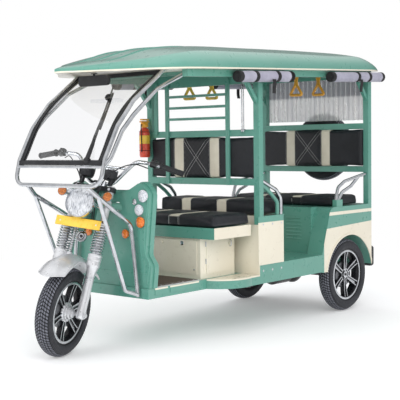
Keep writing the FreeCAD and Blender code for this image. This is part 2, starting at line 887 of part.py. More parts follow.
def pods():
    """Two round instruments above the upper yoke."""
    items = []
    for side, sign in (("left", ""), ("right", "-")):
        low = "pod_place - pod_depth / 2"
        can = rod(f"pod_{side}", "pod_radius", "pod_depth", ("0", f"{sign}pod_half_spacing", low))
        foot = rod(f"pod_foot_{side}", "pod_radius / 3",
                   f"({low}) - upper_yoke_place - yoke_thickness / 2 + seat_gap",
                   ("0", f"{sign}pod_half_spacing * 1.3", "upper_yoke_place + yoke_thickness / 2"))
        items.append(fuse(f"pod_whole_{side}", [can, foot]))
    return items


def signals():
    """Two round signals on stalks from the headlamp's ears."""
    items = []
    for side, sign in (("left", 1), ("right", -1)):
        centre = Vector(mm("lamp_forward"), sign * mm("signal_half_spacing"), mm("signal_place"))
        can = Part.makeCone(mm("signal_radius") * 0.6, mm("signal_radius"), mm("signal_depth"),
                            centre - Vector(mm("signal_depth"), 0, 0), Vector(1, 0, 0))
        reach = mm("(stanchion_diameter / 2 + signal_radius / 5 + seat_gap) * 1.02")
        foot = Vector(0, sign * (mm("leg_half_spacing") + reach), mm("signal_place"))
        knee = Vector(centre.x - mm("signal_depth"), centre.y, centre.z)
        stalk = tube([foot, knee], "signal_radius / 2.5")
        items.append(shape_of(f"signal_{side}", can.fuse(stalk)))
    return items


def mudguard():
    """A crowned strip round the top of the tyre, with stays to the legs."""
    radius = mm("mudguard_radius")
    half = mm("mudguard_half")
    crown = mm("mudguard_crown")
    sheet_thick = mm("mudguard_sheet")
    outer = Part.Arc(Vector(0, -half, radius - crown), Vector(0, 0, radius),
                     Vector(0, half, radius - crown))
    inner = Part.Arc(Vector(0, half, radius - crown - sheet_thick), Vector(0, 0, radius - sheet_thick),
                     Vector(0, -half, radius - crown - sheet_thick))
    section = Part.Wire([outer.toShape(),
                         Part.LineSegment(outer.EndPoint, inner.StartPoint).toShape(),
                         inner.toShape(),
                         Part.LineSegment(inner.EndPoint, outer.StartPoint).toShape()])
    face = Part.Face(section)
    sweep = mm("mudguard_front_angle + mudguard_rear_angle")
    strip = face.revolve(Vector(), Vector(0, 1, 0), sweep)
    strip.rotate(Vector(), Vector(0, 1, 0), -mm("mudguard_rear_angle"))
    shapes = [strip]
    leg_face = mm("leg_half_spacing - lower_leg_diameter / 2 - seat_gap")
    for side in (-1, 1):
        top = radius - crown - sheet_thick * 2
        stay = Part.makeBox(mm("lower_leg_diameter") * 0.6, leg_face - half + sheet_thick * 2,
                            mm("lower_leg_diameter") * 0.5,
                            Vector(-mm("lower_leg_diameter") * 0.3,
                                   half - sheet_thick * 2 if side > 0 else -leg_face,
                                   top - mm("lower_leg_diameter") * 0.4))
        shapes.append(stay)
    return shape_of("mudguard_form", joined(shapes))


# Chassis

def build_chassis():
    rails = []
    for side, sign in (("left", "1"), ("right", "-1")):
        middle = f"{sign} * rail_half_spacing"
        rails.append(block(f"rail_{side}", ("bumper_back + bumper_depth", "rail_front"),
                           (f"{middle} - rail_width / 2", f"{middle} + rail_width / 2"),
                           ("rail_bottom", "rail_top")))
    for index, place in enumerate(("bumper_back + bumper_depth", "riser_front", "post_front - rail_width",
                                   "rail_front - rail_width")):
        rails.append(block(f"cross_{index}", (place, f"{place} + rail_width"),
                           ("-rail_half_spacing", "rail_half_spacing"), ("rail_bottom", "rail_top")))
    frame = fuse("chassis_rails", rails)
    neck = shape_of("chassis_neck", neck_shape())
    subpart("chassis_frame", [fuse("chassis_whole", [frame, neck])])


def axis_point(place):
    """A point on the steering axis, at a distance up from the axle's level."""
    fork = steering_placement()
    point = fork.multVec(Vector(-mm("fork_offset"), 0, place))
    return point + at("origin_ahead", "0", "0")


def neck_shape():
    """The head tube and the two tubes that carry it from the front cross member."""
    low = mm("lower_yoke_place + yoke_thickness / 2 + seat_gap")
    high = mm("upper_yoke_place - yoke_thickness / 2 - seat_gap")
    start = axis_point(low)
    end = axis_point(high)
    direction = end - start
    head = Part.makeCylinder(mm("head_tube_diameter") / 2, direction.Length, start, direction)
    bore = Part.makeCylinder(mm("stem_diameter / 2 + running_gap"), direction.Length * 3,
                             start - direction, direction)
    return joined([head, neck_tubes("neck_diameter")]).cut(bore)


def neck_tubes(diameter):
    """The pair of tubes between the front cross member and the head tube."""
    middle = axis_point(mm("lower_yoke_place + upper_yoke_place") / 2)
    shapes = []
    for side in (-1, 1):
        foot = Vector(mm("rail_front - rail_width / 2"), side * mm("rail_half_spacing") / 2,
                      mm("rail_top - neck_diameter / 2"))
        knee = Vector(foot.x, foot.y, middle.z)
        shapes.append(tube([foot, knee, middle], diameter))
    return joined(shapes)


def build_running_gear():
    """The rear axle, its motor and the leaf springs that carry them."""
    half = "rear_half_track - hub_half - seat_gap"
    tube_part = rod("axle_tube", "axle_tube_diameter / 2", f"2 * ({half})",
                    ("0", f"-({half})", "tyre_radius"), "y")
    pin = rod("axle_pin", "axle_diameter / 2 - running_gap", "2 * (rear_half_track + hub_half)",
              ("0", "-rear_half_track - hub_half", "tyre_radius"), "y")
    casing = turned("diff_casing", [
        ("-diff_half", "0"),
        ("diff_half", "0"),
        ("diff_half", "axle_tube_diameter / 2"),
        ("-diff_half", "axle_tube_diameter / 2", "0", "diff_radius"),
    ])
    bind(casing, Placement__Base__z="tyre_radius")
    subpart("rear_axle", [fuse("rear_axle_whole", [tube_part, pin, casing])])
    motor = rod("motor_form", "motor_radius", "motor_length",
                ("diff_radius + seat_gap", "0", "tyre_radius"), "x")
    subpart("drive_motor", [motor])
    springs = [shape_of(f"leaf_{side}", leaf_pack(sign)) for side, sign in (("left", 1), ("right", -1))]
    subpart("leaf_springs", springs)


def leaf_pack(side):
    """Two curved leaves above the axle, with their ends under the rail."""
    top = mm("rail_bottom - seat_gap")
    low = mm("tyre_radius + axle_tube_diameter / 2 + seat_gap")
    half = mm("leaf_half_length")
    thick = mm("leaf_thickness")
    width = mm("leaf_width")
    y = side * mm("rail_half_spacing") - width / 2
    upper = Part.Arc(Vector(-half, y, top), Vector(0, y, low + thick), Vector(half, y, top))
    lower = Part.Arc(Vector(half, y, top - thick), Vector(0, y, low), Vector(-half, y, top - thick))
    section = Part.Wire([upper.toShape(),
                         Part.LineSegment(upper.EndPoint, lower.StartPoint).toShape(),
                         lower.toShape(),
                         Part.LineSegment(lower.EndPoint, upper.StartPoint).toShape()])
    return Part.Face(section).extrude(Vector(0, width, 0))


def tray(name, corners, inner_corners, low, high):
    """A floor with skirts, open below."""
    outer = plate(name + "_outer", "XY_Plane", corners, f"({high}) - ({low})", low)
    inner = plate(name + "_inner", "XY_Plane", inner_corners,
                  f"({high}) - ({low}) - sheet_steel + overrun", f"({low}) - overrun")
    return cut(name, outer, inner)


def rectangle(back, front, half, inset="0"):
    """The corners of a rectangle across the vehicle."""
    return [
        (f"{back} + {inset}", f"-({half}) + {inset}"),
        (f"{front} - {inset}", f"-({half}) + {inset}"),
        (f"{front} - {inset}", f"{half} - {inset}"),
        (f"{back} + {inset}", f"{half} - {inset}"),
    ]


def build_floors():
    passenger = tray("passenger_tray",
                     rectangle("riser_front", "post_front", "floor_half_width"),
                     rectangle("riser_front - overrun", "post_front + overrun",
                               "floor_half_width - sheet_steel"),
                     "skirt_bottom", "passenger_floor_top")
    holes = fuse("floor_notches", corner_post_spaces() + fender_spaces())
    subpart("passenger_floor", [cut("passenger_floor_form", passenger, holes)])
    driver = tray("driver_tray",
                  rectangle("post_front + seat_gap", "driver_floor_front", "driver_floor_half"),
                  rectangle("post_front - overrun", "driver_floor_front - sheet_steel",
                            "driver_floor_half - sheet_steel"),
                  "skirt_bottom", "driver_floor_top")
    necks = shape_of("floor_neck_holes", neck_tubes("neck_diameter + 2 * seat_gap"))
    subpart("driver_floor", [cut("driver_floor_form", driver, necks)])
    mat = block("mat_form", ("box_front + mat_margin", "rail_front - rail_width / 2 - 1.5 * mat_margin"),
                ("-driver_floor_half + mat_margin", "driver_floor_half - mat_margin"),
                ("driver_floor_top", "driver_floor_top + mat_thickness"))
    subpart("floor_mat", [mat])
    inner = "driver_floor_half + seat_gap"
    side = tray("step_tray",
                [("post_front + seat_gap", inner), ("step_front", inner),
                 ("post_front + 2 * post_size", "floor_half_width",
                  "step_front - 1.5 * post_size", "floor_half_width - post_size"),
                 ("post_front + seat_gap", "floor_half_width")],
                [("post_front + seat_gap + sheet_steel", f"{inner} + sheet_steel"),
                 ("step_front - 5 * sheet_steel", f"{inner} + sheet_steel"),
                 ("post_front + 2 * post_size", "floor_half_width - sheet_steel",
                  "step_front - 1.5 * post_size - 2 * sheet_steel",
                  "floor_half_width - post_size - sheet_steel"),
                 ("post_front + seat_gap + sheet_steel", "floor_half_width - sheet_steel")],
                "skirt_bottom", "driver_floor_top")
    sills = [block(f"sill_{index}", (back, front),
                   ("driver_floor_half + seat_gap", "driver_floor_half + seat_gap + box_wall"),
                   ("driver_floor_top - seat_gap - sill_plate_height", "driver_floor_top - seat_gap"))
             for index, (back, front) in enumerate((("sill_plate_rear", "sill_plate_front"),
                                                    ("sill_plate_front + sill_edge",
                                                     "sill_plate_front + 6 * sill_edge")))]
    pieces = [side] + sills
    pieces += [mirrored(f"{item.Name}_right", item) for item in pieces]
    subpart("step_plates", pieces)


def corner_post_spaces():
    """The corners of the floor that the front posts stand in."""
    spaces = []
    for side, sign in (("left", "1"), ("right", "-1")):
        inner = f"{sign} * (floor_half_width - post_size)"
        outer = f"{sign} * (floor_half_width + overrun)"
        span = (inner, outer) if sign == "1" else (outer, inner)
        spaces.append(block(f"post_space_{side}", ("post_front - post_size", "post_front + overrun"),
                            span, ("skirt_bottom - overrun", "passenger_floor_top + overrun")))
    return spaces


def fender_spaces():
    """The back corners of the floor, where the wheel housings stand."""
    return [block(f"fender_space_{side}", ("riser_front - overrun", "fender_front_low + seat_gap"), span,
                  ("skirt_bottom - overrun", "passenger_floor_top + overrun"))
            for side, span in (("left", ("housing_inner - seat_gap", "floor_half_width + overrun")),
                               ("right", ("-floor_half_width - overrun", "-housing_inner + seat_gap")))]


def build_rear_body():
    """Folded side boxes over the rear wheels, each with an arch and its inner tub."""
    whole = shape_of("fender_left", fender_shape().fuse(rail_socket()))
    subpart("rear_fenders", [whole, mirrored("fender_right", whole)])


def rail_socket():
    """The block on a fender that both rear arm rails stand in."""
    reach = mm("rear_grab_reach")
    width = mm("grab_diameter + 4 * sheet_steel")
    length = mm("2.5 * grab_diameter") + width / 2
    block_low = mm("fender_top - overrun")
    whole = Part.makeBox(length, width, mm("arm_foot_height + overrun"),
                         Vector(reach + width / 2 - length, mm("grab_half") - width / 2, block_low))
    return whole.cut(rear_rail(1, "2 * seat_gap"))


def fender_profile(inset):
    """The side view of a fender, with its sloping front and rounded shoulder."""
    low = at("fender_front_low", "0", "fender_bottom")
    knee = at("fender_front_low", "0", "passenger_floor_top")
    slope = at("fender_front_high", "0", "fender_shoulder")
    crest = at("fender_shoulder_back", "0", "fender_top")
    back = at("body_back", "0", "fender_top")
    foot = at("body_back", "0", "fender_bottom")
    chord = (slope + crest) / 2
    bulge = chord + Vector(1, 0, 1) * (crest - slope).Length / 10
    edges = [Part.LineSegment(low, knee), Part.LineSegment(knee, slope), Part.Arc(slope, bulge, crest),
             Part.LineSegment(crest, back), Part.LineSegment(back, foot), Part.LineSegment(foot, low)]
    face = Part.Face(Part.Wire([edge.toShape() for edge in edges]))
    return face.makeOffset2D(-inset, 2) if inset else face


def fender_shape():
    """One fender: a thin shell, cut by the arch, with a rolled lip and a tub behind it."""
    thick = mm("sheet_steel")
    inner = mm("housing_inner")
    outer = mm("floor_half_width")
    radius = mm("arch_radius")
    low = mm("fender_bottom")
    centre = at("arch_centre", "0", "arch_height")
    across = Vector(0, 1, 0)
    solid = fender_profile(0).extrude(Vector(0, outer - inner, 0))
    solid.translate(Vector(0, inner, 0))
    room = fender_profile(thick).extrude(Vector(0, outer - inner - 2 * thick, 0))
    room.translate(Vector(0, inner + thick, 0))
    under = Part.makeBox(mm("fender_front_low - body_back") - 2 * thick, outer - inner - 2 * thick,
                         2 * thick, Vector(mm("body_back") + thick, inner + thick, low - thick))
    shell = solid.cut(room).cut(under)
    lip_radius = radius + mm("arch_lip")
    lip = Part.makeCylinder(lip_radius, thick + mm("arch_lip_proud"), centre + across * (outer - thick), across)
    tub = Part.makeCylinder(radius + thick, outer - inner, centre + across * inner, across)
    hole = Part.makeCylinder(radius, 2 * outer, centre + across * (inner + thick), across)
    keep = Part.makeBox(mm("fender_front_low - body_back"), 2 * outer, mm("fender_top") - low,
                        Vector(mm("body_back"), 0, low))
    hub_room = Part.makeCylinder(mm("drum_radius + 4 * overrun"), 4 * outer,
                                 Vector(0, 0, mm("tyre_radius")), across)
    return joined([shell, lip.common(keep), tub.common(keep)]).cut(hole).cut(hub_room)


# Posts, partition and roof

def roof_edge(x):
    """The height of the roof's lower edge at a place along the vehicle."""
    share = (mm("roof_front") - x) / mm("roof_front - roof_back")
    return mm("roof_edge_front") + mm("roof_edge_back - roof_edge_front") * share


def under_roof(back, front, depth, half_low, half_high):
    """A bar that follows the roof's edge from below, between two places and two widths."""
    gap = mm("seat_gap")
    tops = [Vector(x, half_low, roof_edge(x) - gap) for x in (back, front)]
    lows = [point - Vector(0, 0, depth) for point in reversed(tops)]
    return prism(tops + lows, Vector(0, half_high - half_low, 0))


def trimmed_under_roof(shape):
    """The shape without whatever rises past the roof's edge."""
    half = 2 * mm("roof_half_width")
    ends = (mm("roof_back"), mm("roof_front"))
    lows = [Vector(x, -half, roof_edge(x) - mm("seat_gap")) for x in ends]
    highs = [point + at("0", "0", "roof_half_width") for point in reversed(lows)]
    return shape.cut(prism(lows + highs, Vector(0, 2 * half, 0)))


def strap_places():
    """Where the roof bows carry the hand straps, from the back to the front."""
    bow_shares = (0.191, 0.41, 0.739, 0.924)
    return spread("body_back + post_size", "post_front - post_size", bow_shares)


def build_body_frame():
    size = mm("post_size")
    half = mm("floor_half_width")
    front = mm("post_front")
    back = mm("body_back")
    header = mm("header_depth")
    rail = mm("partition_rail")
    shapes = both_sides(side_frame)
    shapes.append(under_roof(front - size, front, header, -half, half))
    shapes.append(under_roof(back, back + size, size, -half, half))
    visor = mm("visor_back")
    shapes.append(under_roof(visor - size, visor, size / 2, -half, half))
    for x, name in ((front - rail, "partition"), (back, "backrest")):
        for level in ("low", "high"):
            top = mm(f"{name}_{level}_top")
            shapes.append(Part.makeBox(rail, 2 * half, rail, Vector(x, -half, top - rail)))
    shapes += [roof_bow(x) for x in strap_places()]
    shapes += both_sides(arm_bracket)
    shapes.append(spare_carrier())
    subpart("body_frame", [shape_of("body_frame_form", joined(shapes))])


def roof_bow(x):
    """A flat bar across the roof's inside, resting on both side rails."""
    half = mm("roof_half_width - roof_flange - seat_gap")
    width = mm("bow_width") / 2
    low = [Vector(place, -half, roof_edge(place) - mm("overrun")) for place in (x - width, x + width)]
    high = [point + at("0", "0", "bow_thickness + overrun") for point in reversed(low)]
    return prism(low + high, Vector(0, 2 * half, 0))


def arm_bracket(side):
    """The painted bar under a front arm rail, from its post down to the side panel."""
    ahead_shares = (1.0, 0.8, 0.47, 0.17, 0.17)
    height_shares = (0.855, 0.79, 0.59, 0.35, 0.0)
    places = zip(spread("front_grab_reach", "post_front - post_size + overrun", ahead_shares),
                 spread("side_panel_top + seat_gap", "front_grab_top", height_shares))
    points = [Vector(x, side * mm("grab_half"), z) for x, z in places]
    return [tube(points, "arm_bar", "grab_bend_radius")]


def spare_carrier():
    """The channel, boss and stud that hold the spare wheel behind the backrest."""
    back = mm("body_back")
    depth = mm("carrier_depth")
    width = mm("carrier_width")
    low = mm("min(backrest_low_top - partition_rail; spare_height - carrier_boss_radius)")
    high = mm("max(backrest_high_top; spare_height + carrier_boss_radius)")
    channel = Part.makeBox(depth, width, high - low, Vector(back - depth, -width / 2, low))
    hub_face = mm("spare_back + hub_half + seat_gap")
    stud_end = mm("spare_back - hub_half - seat_gap")
    nut_end = stud_end - mm("carrier_nut_depth")
    behind = Vector(-1, 0, 0)
    start = Vector(back - depth, 0, mm("spare_height"))
    boss = Part.makeCylinder(mm("carrier_boss_radius"), start.x - hub_face, start, behind)
    stud = Part.makeCylinder(mm("axle_diameter / 2 - running_gap"), start.x - nut_end, start, behind)
    nut = Part.makeCylinder(mm("carrier_nut_radius"), mm("carrier_nut_depth"),
                            Vector(stud_end, 0, start.z), behind)
    return joined([channel, boss, stud, nut])


def side_frame(side):
    """The posts, the rail and the braces of one side."""
    size = mm("post_size")
    half = mm("floor_half_width")
    y = half - size if side > 0 else -half
    front = mm("post_front")
    back = mm("body_back")
    shapes = [under_roof(back, mm("side_rail_front"), size, y, y + size)]
    for x, low in ((front - size, mm("skirt_bottom")), (back, mm("fender_top + seat_gap"))):
        top = roof_edge(x + size) - size
        shapes.append(Part.makeBox(size, size, top - low, Vector(x, y, low)))
        shapes.append(brace(x + size, y + (size - mm("brace_thickness")) / 2))
    return shapes


def brace(x, y):
    """A diagonal bar from the front of a post up to its rail."""
    reach = mm("brace_reach")
    drop = mm("brace_drop")
    thick = mm("brace_thickness")
    top = roof_edge(x + reach) - mm("post_size") + mm("overrun")
    points = [Vector(x - thick, y, top - drop), Vector(x - thick, y, top - drop - thick * 1.6),
              Vector(x + reach, y, top - thick / 2), Vector(x + reach, y, top),
              Vector(x + reach - thick, y, top)]
    return prism(points, Vector(0, thick, 0))


def build_partition():
    front = "post_front + seat_gap"
    depth = f"{front} + bar_thickness / 2"
    top = f"{round(roof_edge(mm('post_front')))} - header_depth / 2"
    low = "partition_low_top - partition_rail"
    bars = []
    for name, place in (("left", "ladder_bar_left"), ("right", "ladder_bar_right")):
        bars.append(block(f"ladder_{name}", (front, depth),
                          (f"{place} - bar_thickness / 2", f"{place} + bar_thickness / 2"), (low, top)))
    bars.append(block("upper_bar", (front, depth),
                      ("upper_bar_place - bar_thickness / 2", "upper_bar_place + bar_thickness / 2"),
                      ("partition_high_top - partition_rail / 2", top)))
    for index in range(3):
        level = f"ladder_rung_low + {index} * ladder_rung_pitch"
        bars.append(block(f"rung_{index}", (front, depth), ("ladder_bar_right", "ladder_bar_left"),
                          (level, f"{level} + ladder_rung_thickness")))
    subpart("partition_bars", [fuse("partition_bars_whole", bars)])
    pad = cushion("partition_pad_form",
                  ("post_front - post_size / 2 - partition_pad_thickness", "post_front - seat_gap"),
                  ("-partition_pad_half", "partition_pad_half"),
                  ("partition_low_top + seat_gap", "partition_high_top - partition_rail - seat_gap"))
    subpart("partition_pad", [pad])
    rest = cushion("rear_backrest_form",
                   ("body_back + seat_gap", "body_back + post_size + partition_pad_thickness / 2"),
                   ("-partition_pad_half", "partition_pad_half"),
                   ("backrest_low_top + seat_gap", "backrest_high_top - partition_rail - seat_gap"))
    subpart("rear_backrest", [rest])


def cushion(name, x, y, z, radius="cushion_rounding"):
    """A padded block with rounded edges."""
    body = doc.addObject("PartDesign::Body", name)
    sketch = sketch_on(body, "XY_Plane", name + "_plan", z[0])
    outline(sketch, [(x[0], y[0]), (x[1], y[0]), (x[1], y[1]), (x[0], y[1])])
    base = pad(body, sketch, name + "_pad", f"({z[1]}) - ({z[0]})")
    doc.recompute()
    rounding = body.newObject("PartDesign::Fillet", name + "_rounding")
    edges = [f"Edge{index + 1}" for index in range(len(base.Shape.Edges))]
    rounding.Base = (base, edges)
    bind(rounding, Radius=radius)
    body.Tip = rounding
    return body


def build_roof():
    """A crowned shell with a pointed visor, an inward flange and a closed visor floor."""
    shell = roof_loft(0.0).cut(roof_loft(mm("roof_wall")))
    flange = mm("roof_flange")
    half = mm("roof_half_width") - flange
    back = mm("roof_back") + flange
    front = mm("visor_back")
    over = mm("overrun")
    lows = [Vector(x, -half, roof_edge(x) - over) for x in (back, front)]
    highs = [point + Vector(0, 0, mm("roof_wall") + 2 * over) for point in reversed(lows)]
    opening = prism(lows + highs, Vector(0, 2 * half, 0))
    subpart("roof", [shape_of("roof_form", shell.cut(opening))])


def roof_loft(inset):
    """The roof's solid form, or the closed space inside it."""
    station_shares = (0.0, 0.016, 0.044, 0.08, 0.12, 0.16, 0.2, 0.26, 0.34, 0.46, 0.64, 0.84,
                      0.9, 0.944, 0.976, 1.0)
    width_shares = (0.05, 0.11, 0.25, 0.46, 0.69, 0.874, 0.964, 0.994, 1.0, 1.0, 1.0, 1.0,
                    1.0, 0.99, 0.956, 0.9)
    shoulder_shares = (0.2, 0.26, 0.34, 0.45, 0.58, 0.75, 0.9, 1.0, 1.0, 1.0, 0.98, 0.96,
                       0.92, 0.65, 0.38, 0.2)
    tuck_shares = (0.1, 0.16, 0.3, 0.45, 0.6, 0.75, 0.9, 1.0, 1.0, 1.0, 1.0, 1.0, 1.0, 0.95, 0.8, 0.5)
    crown_shares = (0.16, 0.22, 0.29, 0.385, 0.48, 0.64, 0.79, 0.905, 0.99, 1.0, 0.99, 0.945,
                    0.88, 0.705, 0.43, 0.2)
    rows = list(zip(spread("roof_front", "roof_back", station_shares), width_shares,
                    shoulder_shares, tuck_shares, crown_shares))
    if inset:
        rows = rows[2:-1]
    return Part.makeLoft([roof_section(inset, *row) for row in rows], True, False)


def roof_section(inset, x, width, shoulder, tuck, crown):
    """One outline across the roof: edge, lip, curved side and crowned top."""
    low = roof_edge(x) + inset
    half = mm("roof_half_width") * width - inset
    lip = roof_edge(x) + mm("roof_lip") * min(1, 2 * shoulder)
    high = roof_edge(x) + mm("roof_shoulder") * shoulder - inset
    inner = half - mm("roof_tuck") * tuck * min(1, 2 * width)
    top = roof_edge(x) + mm("roof_crown") * crown - inset
    bulge = (half * 3 + inner) / 4
    middle = lip * 0.35 + high * 0.65
    corners = [Vector(x, -half, low), Vector(x, half, low)]
    side = [Part.LineSegment(corners[1], Vector(x, half, lip)),
            Part.Arc(Vector(x, half, lip), Vector(x, bulge, middle), Vector(x, inner, high)),
            Part.Arc(Vector(x, inner, high), Vector(x, 0, top), Vector(x, -inner, high)),
            Part.Arc(Vector(x, -inner, high), Vector(x, -bulge, middle), Vector(x, -half, lip)),
            Part.LineSegment(Vector(x, -half, lip), corners[0]),
            Part.LineSegment(corners[0], corners[1])]
    return Part.Wire([edge.toShape() for edge in side])


# Seats and boxes

def build_driver_seat():
    rim_part = tray("seat_rim_tray",
                    rectangle("driver_seat_back", "driver_seat_front", "driver_seat_half"),
                    rectangle("driver_seat_back", "driver_seat_front", "driver_seat_half",
                              "2 * sheet_steel"),
                    "seat_rim_bottom", "seat_rim_top")
    subpart("driver_seat_rim", [rim_part])
    pad_part = cushion("driver_cushion_form",
                       ("driver_seat_back + sheet_steel", "driver_seat_front + sheet_steel"),
                       ("-driver_seat_half", "driver_seat_half"),
                       ("seat_rim_top + seat_gap", "driver_cushion_top"))
    subpart("driver_cushion", [pad_part])
    build_driver_box()


def build_driver_box():
    """The box under the driver's seat, open at its front and left side for its doors."""
    top = "seat_rim_top - sheet_steel - seat_gap"
    low = "driver_floor_top + seat_gap"
    half = "box_half"
    whole = block("box_whole", ("box_back", "box_front"), (f"-{half}", half), (low, top))
    space = block("box_space", ("box_back + box_wall", "box_front - box_wall"),
                  (f"-{half} + box_wall", f"{half} - box_wall"),
                  (f"{low} + box_wall", f"{top} - box_wall"))
    door_low = f"{low} + door_margin"
    door_high = "seat_rim_bottom - door_margin / 2"
    lap = "door_lap"
    front_hole = block("box_front_hole", ("box_front - 2 * box_wall", "box_front + overrun"),
                       (f"-{half} + door_margin + {lap}", f"{half} - door_margin - {lap}"),
                       (f"{door_low} + {lap}", f"{door_high} - {lap}"))
    side_hole = block("box_side_hole",
                      (f"box_back + door_margin + {lap}", f"box_front - 2 * door_margin - {lap}"),
                      (f"{half} - 2 * box_wall", f"{half} + overrun"),
                      (f"{door_low} + {lap}", f"{door_high} - {lap}"))
    tools = fuse("box_tools", [space, front_hole, side_hole])
    subpart("driver_box", [cut("driver_box_form", whole, tools)])
    front_door = block("front_door_form",
                       ("box_front + seat_gap", "box_front + seat_gap + door_thickness"),
                       (f"-{half} + door_margin", f"{half} - door_margin"), (door_low, door_high))
    lock = rod("front_door_lock", "lock_radius", "lock_depth",
               ("box_front + door_thickness", "0", f"{door_high} - 2 * lock_radius"), "x")
    knuckles = [rod(f"front_door_knuckle_{index}", "door_thickness", "door_margin",
                    ("box_front + seat_gap + door_thickness", place, door_low), "y")
                for index, place in enumerate(("-box_half / 2", "box_half / 2 - door_margin"))]
    subpart("box_front_door", [fuse("front_door_whole", [front_door, lock] + knuckles)])
    side_door = block("side_door_form", ("box_back + door_margin", "box_front - 2 * door_margin"),
                      (f"{half} + seat_gap", f"{half} + seat_gap + door_thickness"),
                      (door_low, door_high))
    pull = rod("side_door_pull", "lock_radius", "lock_depth",
               ("box_back + door_margin + 2 * lock_radius", f"{half} + door_thickness",
                f"{door_high} - 3 * lock_radius"), "y")
    side_knuckles = [rod(f"side_door_knuckle_{index}", "door_thickness", "door_margin",
                         ("box_front - 2 * door_margin", f"{half} + seat_gap + door_thickness", place))
                     for index, place in enumerate((f"{door_low} + door_margin",
                                                    f"{door_high} - 2 * door_margin"))]
    subpart("box_side_door", [fuse("side_door_whole", [side_door, pull] + side_knuckles)])
    print("front door hinge", mm("box_front + seat_gap + door_thickness - origin_ahead"), mm(door_low))
    print("side door hinge", mm("box_front - 2 * door_margin - origin_ahead"),
          mm(f"{half} + seat_gap + door_thickness"))


def build_middle_bench():
    back = "post_front - post_size - seat_gap"
    half = "floor_half_width - post_size - seat_gap"
    base = tray("middle_base_tray", rectangle("middle_base_front", back, half),
                rectangle("middle_base_front", back, half, "sheet_steel"),
                "passenger_floor_top + seat_gap", "middle_seat_bottom - seat_gap")
    subpart("middle_bench_base", [base])
    pad_part = cushion("middle_cushion_form", ("middle_seat_front", "middle_seat_back"),
                       ("-bench_half", "bench_half"), ("middle_seat_bottom", "middle_seat_top"))
    subpart("middle_cushion", [pad_part])
    panels = both_sides(side_panel) + both_sides(bulkhead)
    subpart("side_panels", [shape_of("side_panels_form", Part.makeCompound(panels))])


def side_panel(side):
    """The folded panel beside the middle bench, with its back and top edges turned in."""
    thick = mm("sheet_steel")
    outer = mm("floor_half_width") + thick + mm("seat_gap")
    low = mm("passenger_floor_top + seat_gap")
    top = mm("side_panel_top")
    back = mm("middle_base_front") - thick - mm("seat_gap")
    front = mm("side_panel_front")
    hem = mm("post_size") + thick
    hem_back = mm("front_grab_reach - grab_diameter / 2")
    hem_front = mm("post_front - post_size - seat_gap")
    skin = Part.makeBox(front - back, thick, top - low, Vector(back, outer - thick, low))
    edge = Part.makeBox(thick, hem, top - low, Vector(back, outer - hem, low))
    ledge = Part.makeBox(hem_front - hem_back, hem, thick, Vector(hem_back, outer - hem, top - thick))
    whole = joined([skin, edge, ledge])
    return [whole if side > 0 else flip(whole)]


def bulkhead(side):
    """The wall beside the driver's box, ahead of the front post."""
    thick = mm("sheet_steel")
    front = mm("post_front + seat_gap") + thick
    low = mm("driver_floor_top + seat_gap")
    wall = Part.makeBox(thick, mm("floor_half_width - bulkhead_inner"), mm("bulkhead_top") - low,
                        Vector(front - thick, mm("bulkhead_inner"), low))
    return [wall if side > 0 else flip(wall)]


def build_rear_bench():
    inner = "housing_inner - seat_gap"
    base = tray("rear_base_tray",
                rectangle("body_back", "riser_front - seat_gap", inner),
                rectangle("body_back", "riser_front - seat_gap", inner, "sheet_steel"),
                "rail_top + seat_gap", "fender_top")
    louvers = shape_of("louver_rows", Part.makeCompound(louver_rows()))
    subpart("rear_bench_base", [fuse("rear_bench_base_form", [base, louvers])])
    battery = block("battery_form", ("battery_back", "battery_front"),
                    ("-battery_half", "battery_half"),
                    ("rail_top + seat_gap", "rail_top + seat_gap + battery_height"))
    subpart("battery_block", [battery])
    pad_part = cushion("rear_cushion_form", ("rear_seat_back", "rear_seat_front"),
                       ("-bench_half", "bench_half"), ("fender_top + seat_gap", "rear_seat_top"))
    subpart("rear_cushion", [pad_part])


def louver_rows():
    """Pressed hoods in the riser under the rear bench."""
    radius = mm("louver_radius")
    length = mm("louver_width")
    back = mm("riser_front - seat_gap - sheet_steel / 2")
    rows = []
    for index in range(int(mm("louver_count"))):
        height = mm("louver_low") + index * mm("louver_pitch")
        start = Vector(back + radius / 4, mm("louver_place") - length / 2, height)
        hood = Part.makeCylinder(radius, length, start, Vector(0, 1, 0))
        ends = [Part.makeSphere(radius, start + Vector(0, shift, 0)) for shift in (0, length)]
        keep = Part.makeBox(2 * radius, length + 2 * radius, radius, Vector(back, start.y - radius, height))
        rows.append(joined([hood] + ends).common(keep))
    return rows


# Chrome tubes and windscreen

def screen_curve():
    """The side view of the windscreen from its foot to the roof."""
    ahead_shares = (1.0, 0.969, 0.752, 0.49, 0.105, 0.0)
    height_shares = (0.0, 0.045, 0.409, 0.676, 0.933, 1.0)
    points = [Vector(x, 0, z) for x, z in zip(spread("screen_back", "screen_front", ahead_shares),
                                              spread("screen_low", "screen_high", height_shares))]
    curve = Part.BSplineCurve()
    curve.interpolate(points)
    return curve


def on_screen(height, across, lift=0.0):
    """A point on the windscreen at a height, lifted along its outward normal."""
    curve = screen_curve()
    low = curve.FirstParameter
    high = curve.LastParameter
    while high - low > 1e-7:
        middle = (low + high) / 2
        if curve.value(middle).z < height:
            low = middle
        else:
            high = middle
    along = curve.tangent(low)[0]
    return curve.value(low) + Vector(along.z, 0, -along.x) * lift + Vector(0, across, 0)


def screen_strip(half_low, half_high, thickness, sunk=0.0):
    """A curved strip across the windscreen between two widths."""
    outer = screen_curve().toShape()
    outer.translate(Vector(-sunk, half_low, 0))
    back = outer.copy()
    back.translate(Vector(-thickness, 0, -thickness * 0.6))
    ends = [Part.LineSegment(outer.Vertexes[index].Point, back.Vertexes[index].Point).toShape()
            for index in (0, 1)]
    face = Part.Face(Part.Wire([outer, ends[1], back, ends[0]]))
    return face.extrude(Vector(0, half_high - half_low, 0))


